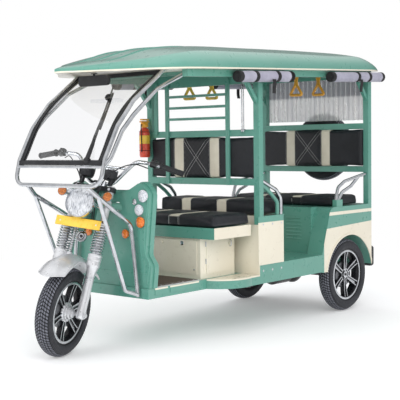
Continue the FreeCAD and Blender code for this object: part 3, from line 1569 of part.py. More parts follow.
def build_windscreen():
    half = mm("glass_half")
    width = mm("gasket_width")
    depth = mm("gasket_depth")
    sheet_depth = mm("glass_thickness")
    lap = width / 2
    glass = screen_strip(lap - half, half - lap, sheet_depth, sheet_depth)
    glass = trimmed_under_roof(glass)
    subpart("windscreen_glass", [shape_of("glass_form", glass)])
    sides = [screen_strip(half - width, half, depth), screen_strip(-half, width - half, depth)]
    bars = []
    for height in ("screen_low + gasket_width / 3", "screen_high - gasket_width / 3"):
        place = on_screen(mm(height), 0)
        bars.append(Part.makeBox(1.4 * depth, 2 * half, width,
                                 place - Vector(1.2 * depth, half, width / 2)))
    gasket = trimmed_under_roof(joined(sides + bars)).cut(glass)
    subpart("windscreen_gasket", [shape_of("gasket_form", gasket)])
    tubes = [screen_loop()] + both_sides(second_tube)
    bar_place = on_screen(mm("screen_low - gasket_width / 2"), 0)
    reach = mm("glass_half + screen_tube / 2")
    bar_height = mm("screen_low - gasket_width / 2 - seat_gap")
    bar_start = Vector(bar_place.x, -reach, bar_height)
    tubes.append(Part.makeCylinder(mm("screen_tube") / 3, 2 * reach, bar_start, Vector(0, 1, 0)))
    whole = trimmed_under_roof(joined(tubes))
    subpart("windscreen_tubes", [shape_of("screen_tubes_form", whole)])


def screen_loop():
    """The tube up both sides of the windscreen and round below it."""
    half = mm("glass_half + screen_tube / 2 + seat_gap")
    heights = spread("screen_high + screen_tube", "screen_low", (0.0, 0.11, 0.36, 0.62, 0.955))
    side = [on_screen(min(height, mm("screen_high")), half) for height in heights]
    side[0] = side[0] + at("-screen_tube", "0", "screen_tube")
    foot = at("loop_front", str(half), "loop_low")
    other = [Vector(point.x, -point.y, point.z) for point in [foot] + side[::-1]]
    return tube(side + [foot] + other, "screen_tube", "loop_bend_radius")


def second_tube(side):
    """The tube beside the windscreen, from the loop up to the visor."""
    ahead_shares = (0.985, 0.931, 0.806, 0.68, 0.421, 0.0)
    height_shares = (-0.02, 0.065, 0.34, 0.504, 0.773, 1.01)
    roof_height = f"{roof_edge(mm('second_tube_top')) / mm('screen_high')} * screen_high"
    ahead = spread("second_tube_top", "screen_front", ahead_shares)
    heights = spread("screen_low", roof_height, height_shares)
    points = [Vector(x, side * mm("second_tube_half"), z) for x, z in zip(ahead, heights)]
    points[0].y = side * mm("glass_half + screen_tube / 2 + seat_gap")
    return [tube(points, "screen_tube", "bar_bend_radius")]


def build_crash_guard():
    """Bars from the windscreen loop down to the floor's front corners."""
    shapes = both_sides(guard_bars)
    loop_bar = Part.makeCylinder(mm("screen_tube / 2 + seat_gap"), 2 * mm("glass_half"),
                                 at("loop_front", "-glass_half", "loop_low"), Vector(0, 1, 0))
    subpart("crash_guard", [shape_of("crash_guard_form", joined(shapes).cut(loop_bar))])


def guard_bars(side):
    """The outer and the inner bar of one side."""
    front = mm("driver_floor_front + guard_tube / 2 + seat_gap")
    top = Vector(mm("loop_front"), side * mm("guard_top_half"), mm("loop_low"))
    joint = Vector(mm("guard_joint_ahead"), side * mm("guard_joint_half"), mm("guard_joint_height"))
    elbow = Vector(front + mm("guard_elbow_gap"), side * mm("guard_elbow_half"), mm("guard_elbow_height"))
    foot = Vector(front, side * mm("guard_foot_half"), mm("guard_foot_height"))
    low = Vector(mm("guard_low_ahead"), side * mm("guard_low_half"), mm("guard_low_height"))
    return [tube([top, joint, elbow, foot], "guard_tube", "bar_bend_radius"),
            tube([joint, low, foot + Vector(0, 0, mm("guard_tube") / 2)], "guard_tube * 0.9",
                 "bar_bend_radius / 2")]


def build_cowl():
    """The leg shield in front of the driver, dished back with a beaded rim, and its lamps."""
    face = cowl_outline()
    depth = mm("cowl_depth")
    thick = mm("cowl_sheet")
    solid = face.extrude(Vector(-depth, 0, 0))
    bead = face.makeOffset2D(mm("cowl_bead"))
    bead.translate(Vector(-depth * 0.45, 0, 0))
    solid = solid.fuse(bead.extrude(Vector(-depth * 0.55, 0, 0)))
    room = face.makeOffset2D(-thick)
    room.translate(Vector(-thick, 0, 0))
    shell = solid.cut(room.extrude(Vector(-depth, 0, 0)))
    low = mm("driver_floor_top + seat_gap")
    side = mm("cowl_half + cowl_bead + overrun")
    reach = mm("cowl_depth + cowl_setback + overrun")
    below = Part.makeBox(2 * reach, 2 * side, low, Vector(mm("driver_floor_front") - reach, -side, 0))
    necks = neck_tubes("neck_diameter + 2 * overrun")
    subpart("front_cowl", [shape_of("front_cowl_form", shell.cut([below, necks]))])
    subpart("cowl_lamps", [shape_of("cowl_lamps_form", Part.makeCompound(both_sides(side_lamps)))])


def cowl_outline():
    """The front view of the leg shield, with rounded corners and a notched top."""
    side_shares = (0.955, 1.0, 0.873, 0.988, 0.798, 0.5, 0.36)
    height_shares = (0.0, 0.211, 0.306, 0.888, 1.0, 0.912, 0.9)
    half = mm("cowl_half")
    front = mm("driver_floor_front") - mm("cowl_setback")
    heights = spread("driver_floor_top + seat_gap", "cowl_top", height_shares)
    right = [Vector(front, -half * share, height) for share, height in zip(side_shares, heights)]
    left = [Vector(point.x, -point.y, point.z) for point in reversed(right)]
    path = rounded_path(right + left, mm("cowl_corner"))
    foot = Part.LineSegment(left[-1], right[0]).toShape()
    return Part.Face(Part.Wire(path.Edges + [foot]))


def side_lamps(side):
    """The lamps and the round fitting on one side of the leg shield."""
    side_shares = (0.873, 0.774, 0.801, 0.663, 0.446)
    height_shares = (0.867, 0.735, 0.621, 0.81, 0.503)
    radius_shares = (1.0, 0.9, 0.9, 0.5, 0.75)
    heights = spread("driver_floor_top", "cowl_top", height_shares)
    front = mm("driver_floor_front + seat_gap") - mm("cowl_setback")
    shapes = []
    for across, height, size in zip(side_shares, heights, radius_shares):
        place = Vector(front, side * mm("cowl_half") * across, height)
        shapes.append(round_lamp(mm("cowl_lamp_radius") * size, mm("cowl_lamp_depth") * size, place,
                                 Vector(1, 0, 0)))
    return shapes


def round_lamp(radius, depth, place, axis):
    """A short can with a stepped rim and a domed lens."""
    profile = [(0, 0), (radius * 0.9, 0), (radius, depth * 0.4), (radius, depth * 0.55),
               (radius * 0.88, depth * 0.6), (0, depth * 0.6)]
    can = spun(profile, place, axis)
    ball = (radius * 0.88) ** 2 / (0.8 * depth) + 0.2 * depth
    lens = Part.makeSphere(ball, place + axis * (depth - ball))
    keep = Part.makeCylinder(radius * 0.88, depth, place + axis * depth * 0.5, axis)
    return can.fuse(lens.common(keep))


def build_grab_rails():
    """Chrome arm rails beside both benches."""
    shapes = both_sides(front_rail) + both_sides(rear_rail)
    subpart("grab_rails", [shape_of("grab_rails_form", Part.makeCompound(shapes))])


def rail_paths(side, back, front, low, high, tables):
    """Paths beside the seats, with their places given as shares along and up."""
    half = side * mm("grab_half")
    return [[Vector(x, half, z) for x, z in zip(spread(back, front, ahead), spread(low, high, up))]
            for ahead, up in tables]


def clear_of_post(rails, back):
    """The rails without their ends inside the post that starts at a place."""
    size = mm("post_size + 2 * seat_gap")
    tall = mm("roof_edge_front")
    side = mm("floor_half_width + overrun")
    post = Part.makeBox(size, 2 * side, tall, Vector(back - mm("seat_gap"), -side, 0))
    return rails.cut(post)


def front_rail(side):
    along_shares = (1.1, 0.725, 0.235, 0.0, 0.0)
    up_shares = (1.04, 0.89, 0.7, 0.47, 0.0)
    paths = rail_paths(side, "front_grab_reach", "post_front - post_size", "side_panel_top + seat_gap",
                       "front_grab_top", ((along_shares, up_shares),))
    return [clear_of_post(tube(paths[0], "grab_diameter", "grab_bend_radius"), mm("post_front - post_size"))]


def rear_rail_paths(side):
    """The long rail over a fender and the second one that leaves it halfway."""
    along_shares = (-0.06, 0.723, 0.931, 1.0, 1.0)
    up_shares = (1.015, 0.78, 0.6, 0.25, 0.0)
    second_along_shares = (0.245, 0.515, 0.803, 0.925, 0.925)
    second_up_shares = (0.92, 0.61, 0.44, 0.22, 0.0)
    return rail_paths(side, "body_back + post_size", "rear_grab_reach", "fender_top + seat_gap",
                      "rear_grab_top",
                      ((along_shares, up_shares), (second_along_shares, second_up_shares)))


def rear_rail(side, wider="0"):
    tubes = [tube(path, f"grab_diameter + {wider}", "grab_bend_radius") for path in rear_rail_paths(side)]
    return [clear_of_post(joined(tubes), mm("body_back"))]


# Fittings

def build_fittings():
    bumper = cushion("bumper_form", ("bumper_back", "bumper_back + bumper_depth"),
                     ("-bumper_half", "bumper_half"), ("bumper_bottom", "bumper_top"),
                     "bumper_rounding")
    holes = [rod(f"plate_hole_{side}", "plate_hole_radius", "bumper_depth / 2 + overrun",
                 ("bumper_back - overrun", f"{sign}plate_hole_spacing / 2",
                  "(bumper_bottom + bumper_top) / 2"), "x")
             for side, sign in (("left", ""), ("right", "-"))]
    subpart("rear_bumper", [cut("rear_bumper_form", bumper, fuse("plate_holes", holes))])
    subpart("curtain_rolls", [shape_of("rolls_form", Part.makeCompound(both_sides(rolls)))])
    subpart("rear_window", [shape_of("rear_panel_form", rear_panel())])
    subpart("fire_extinguisher", [shape_of("extinguisher_form", extinguisher())])
    subpart("inside_mirror", [shape_of("mirror_form", mirror())])
    subpart("wiper", [shape_of("wiper_form", wiper())])
    subpart("tail_lamps", [shape_of("tail_lamps_form", Part.makeCompound(both_sides(tail_lamp)))])
    straps = [strap(x, side) for x, side in zip(strap_places(), (1, 1, -1, -1))]
    subpart("hand_straps", [shape_of("hand_straps_form", Part.makeCompound(straps))])


def rolls(side):
    """Two rolled curtains with their cores, hung beside the roof rail."""
    radius = mm("roll_radius")
    shapes = []
    for back, front in (("front_roll_back", "front_roll_front"), ("rear_roll_back", "rear_roll_front")):
        ends = [Vector(x, side * (mm("floor_half_width + seat_gap") + radius),
                       roof_edge(x) - mm("roll_drop")) for x in (mm(back), mm(front))]
        along = ends[1] - ends[0]
        length = along.Length
        along.normalize()
        stub = mm("roll_core") / 3
        core = Part.makeCylinder(mm("roll_core"), length + 2 * stub, ends[0] - along * stub, along)
        shapes.append(Part.makeCylinder(radius, length, ends[0], along).fuse(core))
    return shapes


def rear_panel():
    """The ribbed sheet behind the rear posts."""
    thick = mm("rear_panel_sheet")
    half = mm("rear_panel_half")
    low = mm("rear_panel_low")
    back = mm("body_back - seat_gap") - thick
    height = roof_edge(mm("body_back")) - mm("seat_gap") - low
    shapes = [Part.makeBox(thick, 2 * half, height, Vector(back, -half, low))]
    radius = mm("rear_panel_rib") / 2
    count = int(mm("rear_panel_ribs"))
    for index in range(count):
        across = -half + (index + 0.5) * 2 * half / count
        shapes.append(Part.makeCylinder(radius, height, Vector(back + radius / 3, across, low)))
    keep = Part.makeBox(thick + radius, 2 * half, height, Vector(back - radius, -half, low))
    return joined(shapes).common(keep)


def extinguisher():
    """A bottle with a valve and handle, in a band on its post."""
    radius = mm("extinguisher_radius")
    low = mm("extinguisher_low")
    high = mm("extinguisher_high")
    place = at("post_front + seat_gap + sheet_steel + extinguisher_radius", "extinguisher_side", "0")
    shoulder = high - radius
    profile = [(0, low), (radius * 0.85, low), (radius, low + radius * 0.2), (radius, shoulder - radius / 2),
               (radius * 0.9, shoulder), (radius * 0.62, shoulder + radius * 0.3),
               (radius * 0.34, shoulder + radius * 0.42), (radius * 0.34, high), (0, high)]
    bottle = spun(profile, place)
    band = Part.makeCylinder(radius + mm("sheet_steel"), radius * 0.7, place + Vector(0, 0, low + radius))
    handle = Part.makeBox(2.2 * radius, radius * 0.5, radius * 0.22,
                          place + Vector(-radius * 0.7, -radius / 4, high - radius * 0.3))
    grip = Part.makeBox(1.9 * radius, radius * 0.5, radius * 0.22,
                        place + Vector(-radius * 0.4, -radius / 4, high + radius * 0.12))
    stem = Part.makeCylinder(radius * 0.22, radius * 0.5, place + Vector(0, 0, high - radius * 0.2))
    return joined([bottle, band, handle, grip, stem])


def mirror():
    """A rounded mirror on a short stem under the visor."""
    depth = mm("mirror_depth")
    low = mm("mirror_low")
    height = mm("mirror_high") - low
    radius = height * 0.45
    start = at("mirror_place", "0", "mirror_low")
    slab = Part.makeBox(depth, 2 * mm("mirror_half"), height, start - at("0", "mirror_half", "0"))
    slab = slab.makeFillet(radius, [edge for edge in slab.Edges if abs(edge.BoundBox.XLength - depth) < 1e-6])
    top = roof_edge(start.x) - mm("seat_gap")
    stem_start = start + Vector(depth / 2, 0, height / 2)
    stem = Part.makeCylinder(depth * 0.3, top - stem_start.z, stem_start)
    foot = Part.makeCylinder(depth * 0.9, depth / 5, Vector(stem_start.x, 0, top - depth / 5))
    return trimmed_under_roof(joined([slab, stem, foot]))


def wiper():
    """A wiper arm with its blade, lying on the windscreen."""
    arm_shares = (0.0, 0.3, 0.6, 1.0)
    blade_shares = (0.0, 0.125, 0.25, 0.375, 0.5, 0.625, 0.75, 0.875, 1.0)
    thick = mm("wiper_tube")
    near = thick / 2 - mm("seat_gap")
    head = (mm("wiper_low") + mm("wiper_high")) / 2
    head_across = (mm("wiper_low_half") + mm("wiper_high_half")) / 2
    pivot_height = mm("screen_low + gasket_width / 3")
    pivot = on_screen(pivot_height, mm("wiper_pivot_half"), 2 * thick)
    arm = [pivot + (on_screen(head, head_across, near + thick * 0.7) - pivot) * share for share in arm_shares]
    for index in (1, 2):
        share = arm_shares[index]
        across = pivot.y + (head_across - pivot.y) * share
        arm[index] = on_screen(pivot_height + (head - pivot_height) * share, across, 2 * thick)
    blade = []
    for share in blade_shares:
        height = mm("wiper_low") + mm("wiper_high - wiper_low") * share
        across = mm("wiper_low_half") + mm("wiper_high_half - wiper_low_half") * share
        blade.append(on_screen(height, across, near))
    face = Vector(on_screen(pivot_height, 0).x + mm("gasket_depth") * 0.2 + mm("seat_gap"), pivot.y, pivot.z)
    boss = Part.makeCylinder(mm("wiper_pivot_radius"), pivot.x + thick - face.x, face, Vector(1, 0, 0))
    return joined([tube(arm, "wiper_tube * 0.8", "bar_bend_radius"),
                   tube(blade, "wiper_tube", "bar_bend_radius"), boss])


def tail_lamp(side):
    place = at("body_back - seat_gap", f"{side} * tail_lamp_half", "tail_lamp_height")
    return [round_lamp(mm("tail_lamp_radius"), mm("tail_lamp_depth"), place, Vector(-1, 0, 0))]


def strap(x, side):
    """A hand strap: a web from the roof bow and a rounded ring to hold."""
    top = roof_edge(x) - mm("overrun + seat_gap")
    y = side * mm("strap_half")
    width = mm("strap_ring_width - strap_ring_tube") / 2
    height = mm("strap_ring_height - strap_ring_tube")
    ring_top = top - mm("strap_length")
    web = Part.makeBox(mm("strap_thickness"), mm("strap_width"), mm("strap_length + strap_ring_tube / 2"),
                       Vector(x - mm("strap_thickness") / 2, y - mm("strap_width") / 2,
                              ring_top - mm("strap_ring_tube") / 2))
    halves = []
    for turn in (-1, 1):
        points = [Vector(x, y, ring_top), Vector(x, y + turn * width * 0.6, ring_top),
                  Vector(x, y + turn * width, ring_top - height), Vector(x, y, ring_top - height)]
        halves.append(tube(points, "strap_ring_tube", "strap_ring_tube * 2"))
    return joined([web] + halves)


def build():
    fill_sheet()
    build_wheels()
    build_fork()
    build_handlebar()
    build_fork_fittings()
    build_chassis()
    build_running_gear()
    build_floors()
    build_rear_body()
    build_body_frame()
    build_partition()
    build_roof()
    build_driver_seat()
    build_middle_bench()
    build_rear_bench()
    build_windscreen()
    build_crash_guard()
    build_cowl()
    build_grab_rails()
    build_fittings()
    doc.recompute()
    fork = steering_placement()
    pivot = fork.multVec(Vector(-mm("fork_offset"), 0, 0))
    print("front axle", fork.Base, "across", fork.Rotation.multVec(Vector(0, 1, 0)))
    print("steering pivot", pivot, "axis", fork.Rotation.multVec(Vector(0, 0, 1)))


def check():
    """Stop if a feature failed or a piece is not a valid solid."""
    for item in doc.Objects:
        if "Invalid" in item.State or "Error" in item.State:
            raise RuntimeError(f"{item.Name} failed: {item.State}")
    for item in SUBPARTS:
        if item.Shape.isNull() or not item.Shape.isValid() or not item.Shape.Solids:
            raise RuntimeError(f"{item.Label} is not a valid solid")


def write():
    os.makedirs("parts", exist_ok=True)
    for item in SUBPARTS:
        item.Shape.exportStep(f"parts/{item.Label}.step")


build()
check()
write()
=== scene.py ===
import math

import bmesh
import bpy
from mathutils import Matrix, Vector, noise
from mathutils.bvhtree import BVHTree


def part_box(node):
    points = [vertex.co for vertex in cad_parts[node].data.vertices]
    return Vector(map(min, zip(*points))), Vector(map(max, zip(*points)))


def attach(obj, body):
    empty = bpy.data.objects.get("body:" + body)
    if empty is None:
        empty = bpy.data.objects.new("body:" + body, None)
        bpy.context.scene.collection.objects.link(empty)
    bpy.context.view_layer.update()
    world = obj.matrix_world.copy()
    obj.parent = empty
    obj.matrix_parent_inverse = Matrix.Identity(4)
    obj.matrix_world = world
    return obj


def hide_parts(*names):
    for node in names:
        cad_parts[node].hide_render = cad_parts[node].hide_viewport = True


# The camera that took the photo
CAMERA_PLACE = (4.4914, 3.872, 1.1122)
CAMERA_YAW = 220.98
CAMERA_DOWN = 3.26
CAMERA_ROLL = -0.0125
FOCAL_PIXELS = 955.4
IMAGE_PIXELS = 400.0
SENSOR = 36.0
FLOOR_HALF = 30.0
FLOOR_TONE = (0.9, 0.9, 0.9, 1.0)


# The roof's lower edge: its height at the nose, the nose's place and the slope up to the back
ROOF_LOW = 1.502
ROOF_NOSE = 1.163
ROOF_SLOPE = 0.0424


# Materials

def tone(red, green, blue):
    """A colour written as it shows on screen, from 0 to 255, as linear light."""
    def linear(level):
        share = level / 255
        return share / 12.92 if share <= 0.04045 else ((share + 0.055) / 1.055) ** 2.4
    return (linear(red), linear(green), linear(blue), 1.0)


def shaded(shade, factor, lift=0.0):
    """A colour made darker or paler."""
    return tuple(min(1.0, factor * level + lift) for level in shade[:3]) + (1.0,)


TEAL = tone(96, 158, 142)
TEAL_DEEP = tone(91, 152, 136)
CREAM = tone(238, 231, 212)
CREAM_DEEP = tone(230, 221, 201)


class Shader:
    """A material whose nodes are added and linked by name."""

    def __init__(self, name, **settings):
        self.material = bpy.data.materials.new(name)
        self.material.use_nodes = True
        self.tree = self.material.node_tree
        self.surface = self.tree.nodes["Principled BSDF"]
        self.place = self.node("TexCoord").outputs["Object"]
        for socket, amount in settings.items():
            self.put(self.surface, socket, amount)

    def put(self, item, socket, amount):
        label = socket if socket in item.inputs else socket.replace("_", " ")
        entry = item.inputs[label]
        if isinstance(amount, bpy.types.NodeSocket):
            self.tree.links.new(amount, entry)
        else:
            entry.default_value = amount

    def node(self, kind, **inputs):
        item = self.tree.nodes.new("ShaderNode" + kind)
        for socket, amount in inputs.items():
            self.put(item, socket, amount)
        return item

    def math(self, kind, first, second=0.0):
        item = self.node("Math")
        item.operation = kind
        for index, amount in enumerate((first, second)):
            self.put_at(item, index, amount)
        return item.outputs[0]

    def plus(self, first, second):
        return self.math("ADD", first, second)

    def minus(self, first, second):
        return self.math("SUBTRACT", first, second)

    def times(self, first, second):
        return self.math("MULTIPLY", first, second)

    def most(self, first, second):
        return self.math("MAXIMUM", first, second)

    def size(self, amount):
        """An amount without its sign."""
        return self.math("ABSOLUTE", amount)

    def wave(self, amount, pace):
        return self.math("SINE", self.times(amount, pace))

    def inside(self, amount, low, high, soft):
        """1 between two limits, with soft steps above each of them."""
        return self.times(self.band(amount, low, low + soft), self.band(amount, high, high + soft, 1.0, 0.0))

    def put_at(self, item, index, amount):
        if isinstance(amount, bpy.types.NodeSocket):
            self.tree.links.new(amount, item.inputs[index])
        else:
            item.inputs[index].default_value = amount

    def mix(self, share, first, second):
        """A colour between two colours."""
        item = self.node("Mix")
        item.data_type = "RGBA"
        for index, amount in ((0, share), (6, first), (7, second)):
            self.put_at(item, index, amount)
        return item.outputs[2]

    def band(self, amount, low, high, first=0.0, last=1.0):
        """An amount carried from one range to another and held inside it."""
        item = self.node("MapRange")
        item.clamp = True
        for index, value in enumerate((amount, low, high, first, last)):
            self.put_at(item, index, value)
        return item.outputs[0]

    def noise(self, scale, detail=4.0, rough=0.5, stretch=None, place=None):
        vector = place or self.place
        if stretch:
            vector = self.node("Mapping", Vector=vector, Scale=stretch).outputs[0]
        item = self.node("TexNoise", Vector=vector, Scale=scale, Detail=detail, Roughness=rough)
        return item.outputs["Fac"]

    def axis(self, letter, place=None):
        return self.node("SeparateXYZ", Vector=place or self.place).outputs[letter]

    def bump(self, height, depth, strength=1.0):
        item = self.node("Bump", Height=height, Distance=depth, Strength=strength)
        if self.surface.inputs["Normal"].links:
            self.tree.links.new(self.surface.inputs["Normal"].links[0].from_socket, item.inputs["Normal"])
        self.tree.links.new(item.outputs[0], self.surface.inputs["Normal"])

    def color(self, value):
        self.put(self.surface, "Base Color", value)

    def rough(self, value):
        self.put(self.surface, "Roughness", value)

    def base(self):
        """The colour that the surface has so far."""
        return self.surface.inputs["Base Color"].links[0].from_socket

    def drift(self, first, second, scale, detail, rough=0.5, span=(0.35, 0.7)):
        """A colour that drifts between two colours."""
        return self.mix(self.band(self.noise(scale, detail, rough), *span), first, second)

    def uneven(self, first, last, scale, detail=5.0, rough=0.5):
        """A roughness that drifts between two amounts."""
        self.rough(self.band(self.noise(scale, detail, rough), 0.3, 0.8, first, last))

    def cells(self, scale, place=None):
        """Distances inside small random cells."""
        return self.node("TexVoronoi", Vector=place or self.place, Scale=scale).outputs["Distance"]

    def own_frame(self):
        """Read places in the piece's own frame, which its mesh keeps."""
        kept = self.node("Attribute")
        kept.attribute_name = "own"
        self.place = kept.outputs["Vector"]


def paint(name, base, deep, coat=0.5, gloss=0.07):
    """Gloss enamel: a thin clear coat over a faintly uneven and dusty colour."""
    shader = Shader(name, Coat_Weight=coat, Coat_Roughness=gloss, Coat_IOR=1.5, IOR=1.45)
    color = shader.drift(base, deep, 2.2, 5.0)
    dust = shader.band(shader.noise(7.0, 6.0, 0.6), 0.5, 0.8, 0.0, 0.05)
    shader.color(shader.mix(dust, color, tone(196, 200, 190)))
    shader.uneven(0.26, 0.34, 24.0, 6.0, 0.6)
    shader.bump(shader.noise(5.0, 2.0), 0.002, 0.2)
    return shader


def two_tone(name, mask):
    """Teal enamel with cream where the mask is 1."""
    shader = paint(name, TEAL, TEAL_DEEP)
    shader.color(shader.mix(mask(shader), shader.base(), shader.drift(CREAM, CREAM_DEEP, 2.6, 5.0)))
    return shader.material


def below(level):
    return lambda shader: shader.band(shader.axis("Z"), level - 0.0008, level + 0.0008, 1.0, 0.0)


def outer_side(shader, across):
    """1 on the faces further out than a distance from the middle."""
    return shader.band(shader.size(shader.axis("Y")), across - 0.0004, across + 0.0004)


def fender_mask(shader):
    """Cream below a slanted line, and one cream stripe above it, on the outer faces."""
    along = shader.axis("X")
    height = shader.plus(shader.axis("Z"), shader.times(along, 0.035))
    low = shader.band(height, 0.539, 0.5405, 1.0, 0.0)
    stripe = shader.inside(shader.axis("Z"), 0.6465, 0.668, 0.0015)
    ahead = shader.band(along, -0.6585, -0.657, 1.0, 0.0)
    return shader.times(shader.most(low, stripe), shader.times(ahead, outer_side(shader, 0.452)))


def frame_paint():
    """Black chassis enamel, with the steering neck in the body's teal."""
    shader = paint("frame_paint", tone(30, 31, 34), tone(24, 25, 28), 0.4, 0.15)
    neck = shader.band(shader.axis("Z"), 0.42, 0.43)
    shader.color(shader.mix(neck, shader.base(), TEAL_DEEP))
    return shader.material


def step_mask(shader):
    """Cream tread with a teal rim."""
    return shader.times(shader.band(shader.axis("Z"), 0.335, 0.3365), outer_side(shader, 0.2))


def roof_paint():
    """Teal enamel painted paler towards the crown as a painted highlight, over a cream lower lip."""
    shader = paint("roof_paint", TEAL, TEAL_DEEP, 0.7, 0.2)
    rise = shader.plus(shader.axis("Z"), shader.times(shader.axis("X"), ROOF_SLOPE))
    rise = shader.minus(rise, ROOF_LOW + ROOF_NOSE * ROOF_SLOPE)
    # painted highlight: the teal pales towards the crown, standing for the sheen of the top light
    teal = shader.mix(shader.band(rise, 0.015, 0.1, 0.0, 0.34), shader.base(), tone(206, 232, 222))
    shader.color(shader.mix(shader.band(rise, 0.0075, 0.0095, 1.0, 0.0), teal, CREAM))
    return shader.material


def tread_rubber():
    """Tyre rubber: paler grey block tops, grooves painted near black as painted shade, and smooth side walls.
    """
    shader = Shader("tread_rubber", Specular_IOR_Level=0.4)
    shader.own_frame()
    across = shader.size(shader.axis("Y"))
    share = shader.math("DIVIDE", across, TREAD_HALF)
    crown = shader.minus(TREAD_TOP, shader.times(shader.math("POWER", share, CROWN_POWER), CROWN_DROP))
    squares = [shader.math("POWER", shader.axis(letter), 2.0) for letter in "XZ"]
    depth = shader.minus(crown, shader.math("SQRT", shader.plus(*squares)))
    top = shader.times(shader.band(depth, 0.0006, 0.0026, 1.0, 0.0),
                       shader.band(across, TREAD_HALF - 0.001, TREAD_HALF, 1.0, 0.0))
    wall = shader.drift(tone(44, 45, 50), tone(58, 59, 64), 9.0, 8.0, 0.65, (0.42, 0.78))
    pale_tops = shader.drift(tone(126, 128, 138), tone(92, 94, 103), 70.0, 5.0)
    tread = shader.band(across, TREAD_HALF, TREAD_HALF + 0.001)
    # painted shade: the grooves between the blocks are near black, darker than the rubber of the walls
    base = shader.mix(tread, tone(16, 16, 19), wall)
    shader.color(shader.mix(top, base, pale_tops))
    shader.uneven(0.5, 0.72, 60.0)
    shader.bump(shader.noise(800.0, 4.0, 0.6), 0.0004, 0.5)
    return shader.material


def lamp_glass():
    """A headlamp's fluted glass, coloured pale as a painted reflection of its bright bowl."""
    shader = Shader("lamp_glass", Coat_Weight=1.0, Coat_Roughness=0.02, Metallic=0.25)
    shader.own_frame()
    tall = shader.node("Mapping", Vector=shader.place, Scale=(1.0, 1.0, 0.32)).outputs[0]
    cells = shader.cells(150.0, tall)
    flutes = shader.wave(shader.axis("Y"), 620.0)
    # painted reflection: the near-white colour stands for the bright chrome bowl behind the glass
    base = shader.drift(tone(246, 248, 252), tone(196, 200, 208), 30.0, 4.0)
    base = shader.mix(shader.band(cells, 0.5, 0.9, 0.0, 0.75), base, tone(112, 116, 126))
    shader.color(shader.mix(shader.band(flutes, 0.5, 1.0, 0.0, 0.35), base, tone(150, 154, 162)))
    shader.rough(shader.band(cells, 0.0, 1.0, 0.06, 0.25))
    shader.bump(cells, 0.0012, 0.6)
    return shader.material


def cover_glass():
    """Thin clear glass over a dial."""
    shader = Shader("cover_glass", Transmission_Weight=1.0, IOR=1.2)
    shader.color(shader.drift((1, 1, 1, 1), (0.94, 0.96, 0.96, 1), 20.0, 3.0, span=(0.4, 0.7)))
    shader.rough(shader.band(shader.noise(40.0, 4.0), 0.4, 0.8, 0.0, 0.04))
    return shader.material


def cowl_lamp():
    """White lamps above, amber lamps below and bright fittings between them."""
    shader = Shader("cowl_lamp", Coat_Weight=1.0, Coat_Roughness=0.03)
    across = shader.size(shader.axis("Y"))
    amber = shader.band(shader.axis("Z"), 0.736, 0.738, 1.0, 0.0)
    fitting = shader.times(shader.band(across, 0.238, 0.24, 1.0, 0.0),
                           shader.band(shader.axis("Z"), 0.79, 0.792))
    cells = shader.cells(150.0)
    prism = shader.band(cells, 0.1, 0.8)
    white = shader.mix(prism, tone(250, 251, 253), tone(190, 194, 204))
    orange = shader.mix(prism, tone(255, 150, 40), tone(214, 92, 14))
    shader.color(shader.mix(fitting, shader.mix(amber, white, orange), tone(220, 222, 226)))
    shader.put(shader.surface, "Metallic", fitting)
    shader.rough(shader.band(cells, 0.0, 1.0, 0.08, 0.26))
    shader.bump(cells, 0.001, 0.5)
    return shader.material


def chrome():
    """Polished metal with faint wipe marks."""
    shader = Shader("chrome", Metallic=1.0)
    shader.color(shader.drift(tone(214, 216, 220), tone(176, 180, 186), 16.0, 7.0, 0.65, (0.4, 0.75)))
    fine = shader.noise(90.0, 6.0, 0.7, stretch=(1.0, 1.0, 6.0))
    shader.rough(shader.band(fine, 0.35, 0.8, 0.07, 0.15))
    shader.bump(shader.noise(12.0, 2.0), 0.0003, 0.05)
    return shader.material


def cast_metal(name, shade, rough=0.34, metal=0.9):
    """Satin metal with a faint cloudiness."""
    shader = Shader(name, Metallic=metal, Specular_IOR_Level=0.5)
    shader.color(shader.drift(shade, shaded(shade, 0.86), 22.0, 6.0))
    shader.rough(shader.band(shader.noise(60.0, 5.0), 0.3, 0.75, rough - 0.04, rough + 0.08))
    shader.bump(shader.noise(12.0, 3.0), 0.0004, 0.06)
    return shader.material


def plastic(name, shade, rough=0.42, grain=1300.0, depth=0.00025):
    """Moulded plastic with a fine grain."""
    shader = Shader(name)
    shader.color(shader.drift(shade, shaded(shade, 1.35, 0.012), 14.0, 6.0, 0.6, (0.4, 0.75)))
    shader.uneven(rough - 0.08, rough + 0.1, 40.0)
    shader.bump(shader.cells(grain), depth, 0.6)
    return shader.material


def rubber():
    """Plain dusty rubber."""
    shader = Shader("tyre_rubber", Specular_IOR_Level=0.35)
    shader.color(shader.drift(tone(36, 36, 38), tone(66, 65, 64), 9.0, 8.0, 0.65, (0.42, 0.78)))
    shader.uneven(0.62, 0.82, 60.0)
    shader.bump(shader.noise(800.0, 4.0, 0.6), 0.0004, 0.5)
    return shader.material


def clear_glass():
    """Windscreen glass with a black border at its sides and foot."""
    shader = Shader("windscreen_glass", IOR=1.45)
    foot = shader.band(shader.axis("Z"), 1.043, 1.045, 1.0, 0.0)
    band = shader.most(outer_side(shader, 0.289), foot)
    shader.put(shader.surface, "Transmission Weight", shader.minus(1.0, band))
    shader.color(shader.mix(band, (0.945, 0.948, 0.962, 1.0), tone(20, 21, 25)))
    shader.rough(shader.band(shader.noise(7.0, 6.0), 0.5, 0.8, 0.0, 0.03))
    shader.bump(shader.noise(3.0, 2.0), 0.0004, 0.12)
    return shader.material


def lens(name, shade):
    """A lamp's lens with moulded prisms inside, its pale cells a painted reflection of the bright bowl behind.
    """
    shader = Shader(name, Coat_Weight=1.0, Coat_Roughness=0.02, Transmission_Weight=0.25, IOR=1.5)
    cells = shader.cells(160.0)
    # painted reflection: the pale colour of the prism cells stands for the bright bowl behind the lens
    shader.color(shader.mix(shader.band(cells, 0.1, 0.8), shaded(shade, 1.5, 0.05), shaded(shade, 0.45)))
    shader.rough(shader.band(cells, 0.0, 1.0, 0.08, 0.33))
    shader.bump(cells, 0.0015, 0.7)
    return shader.material


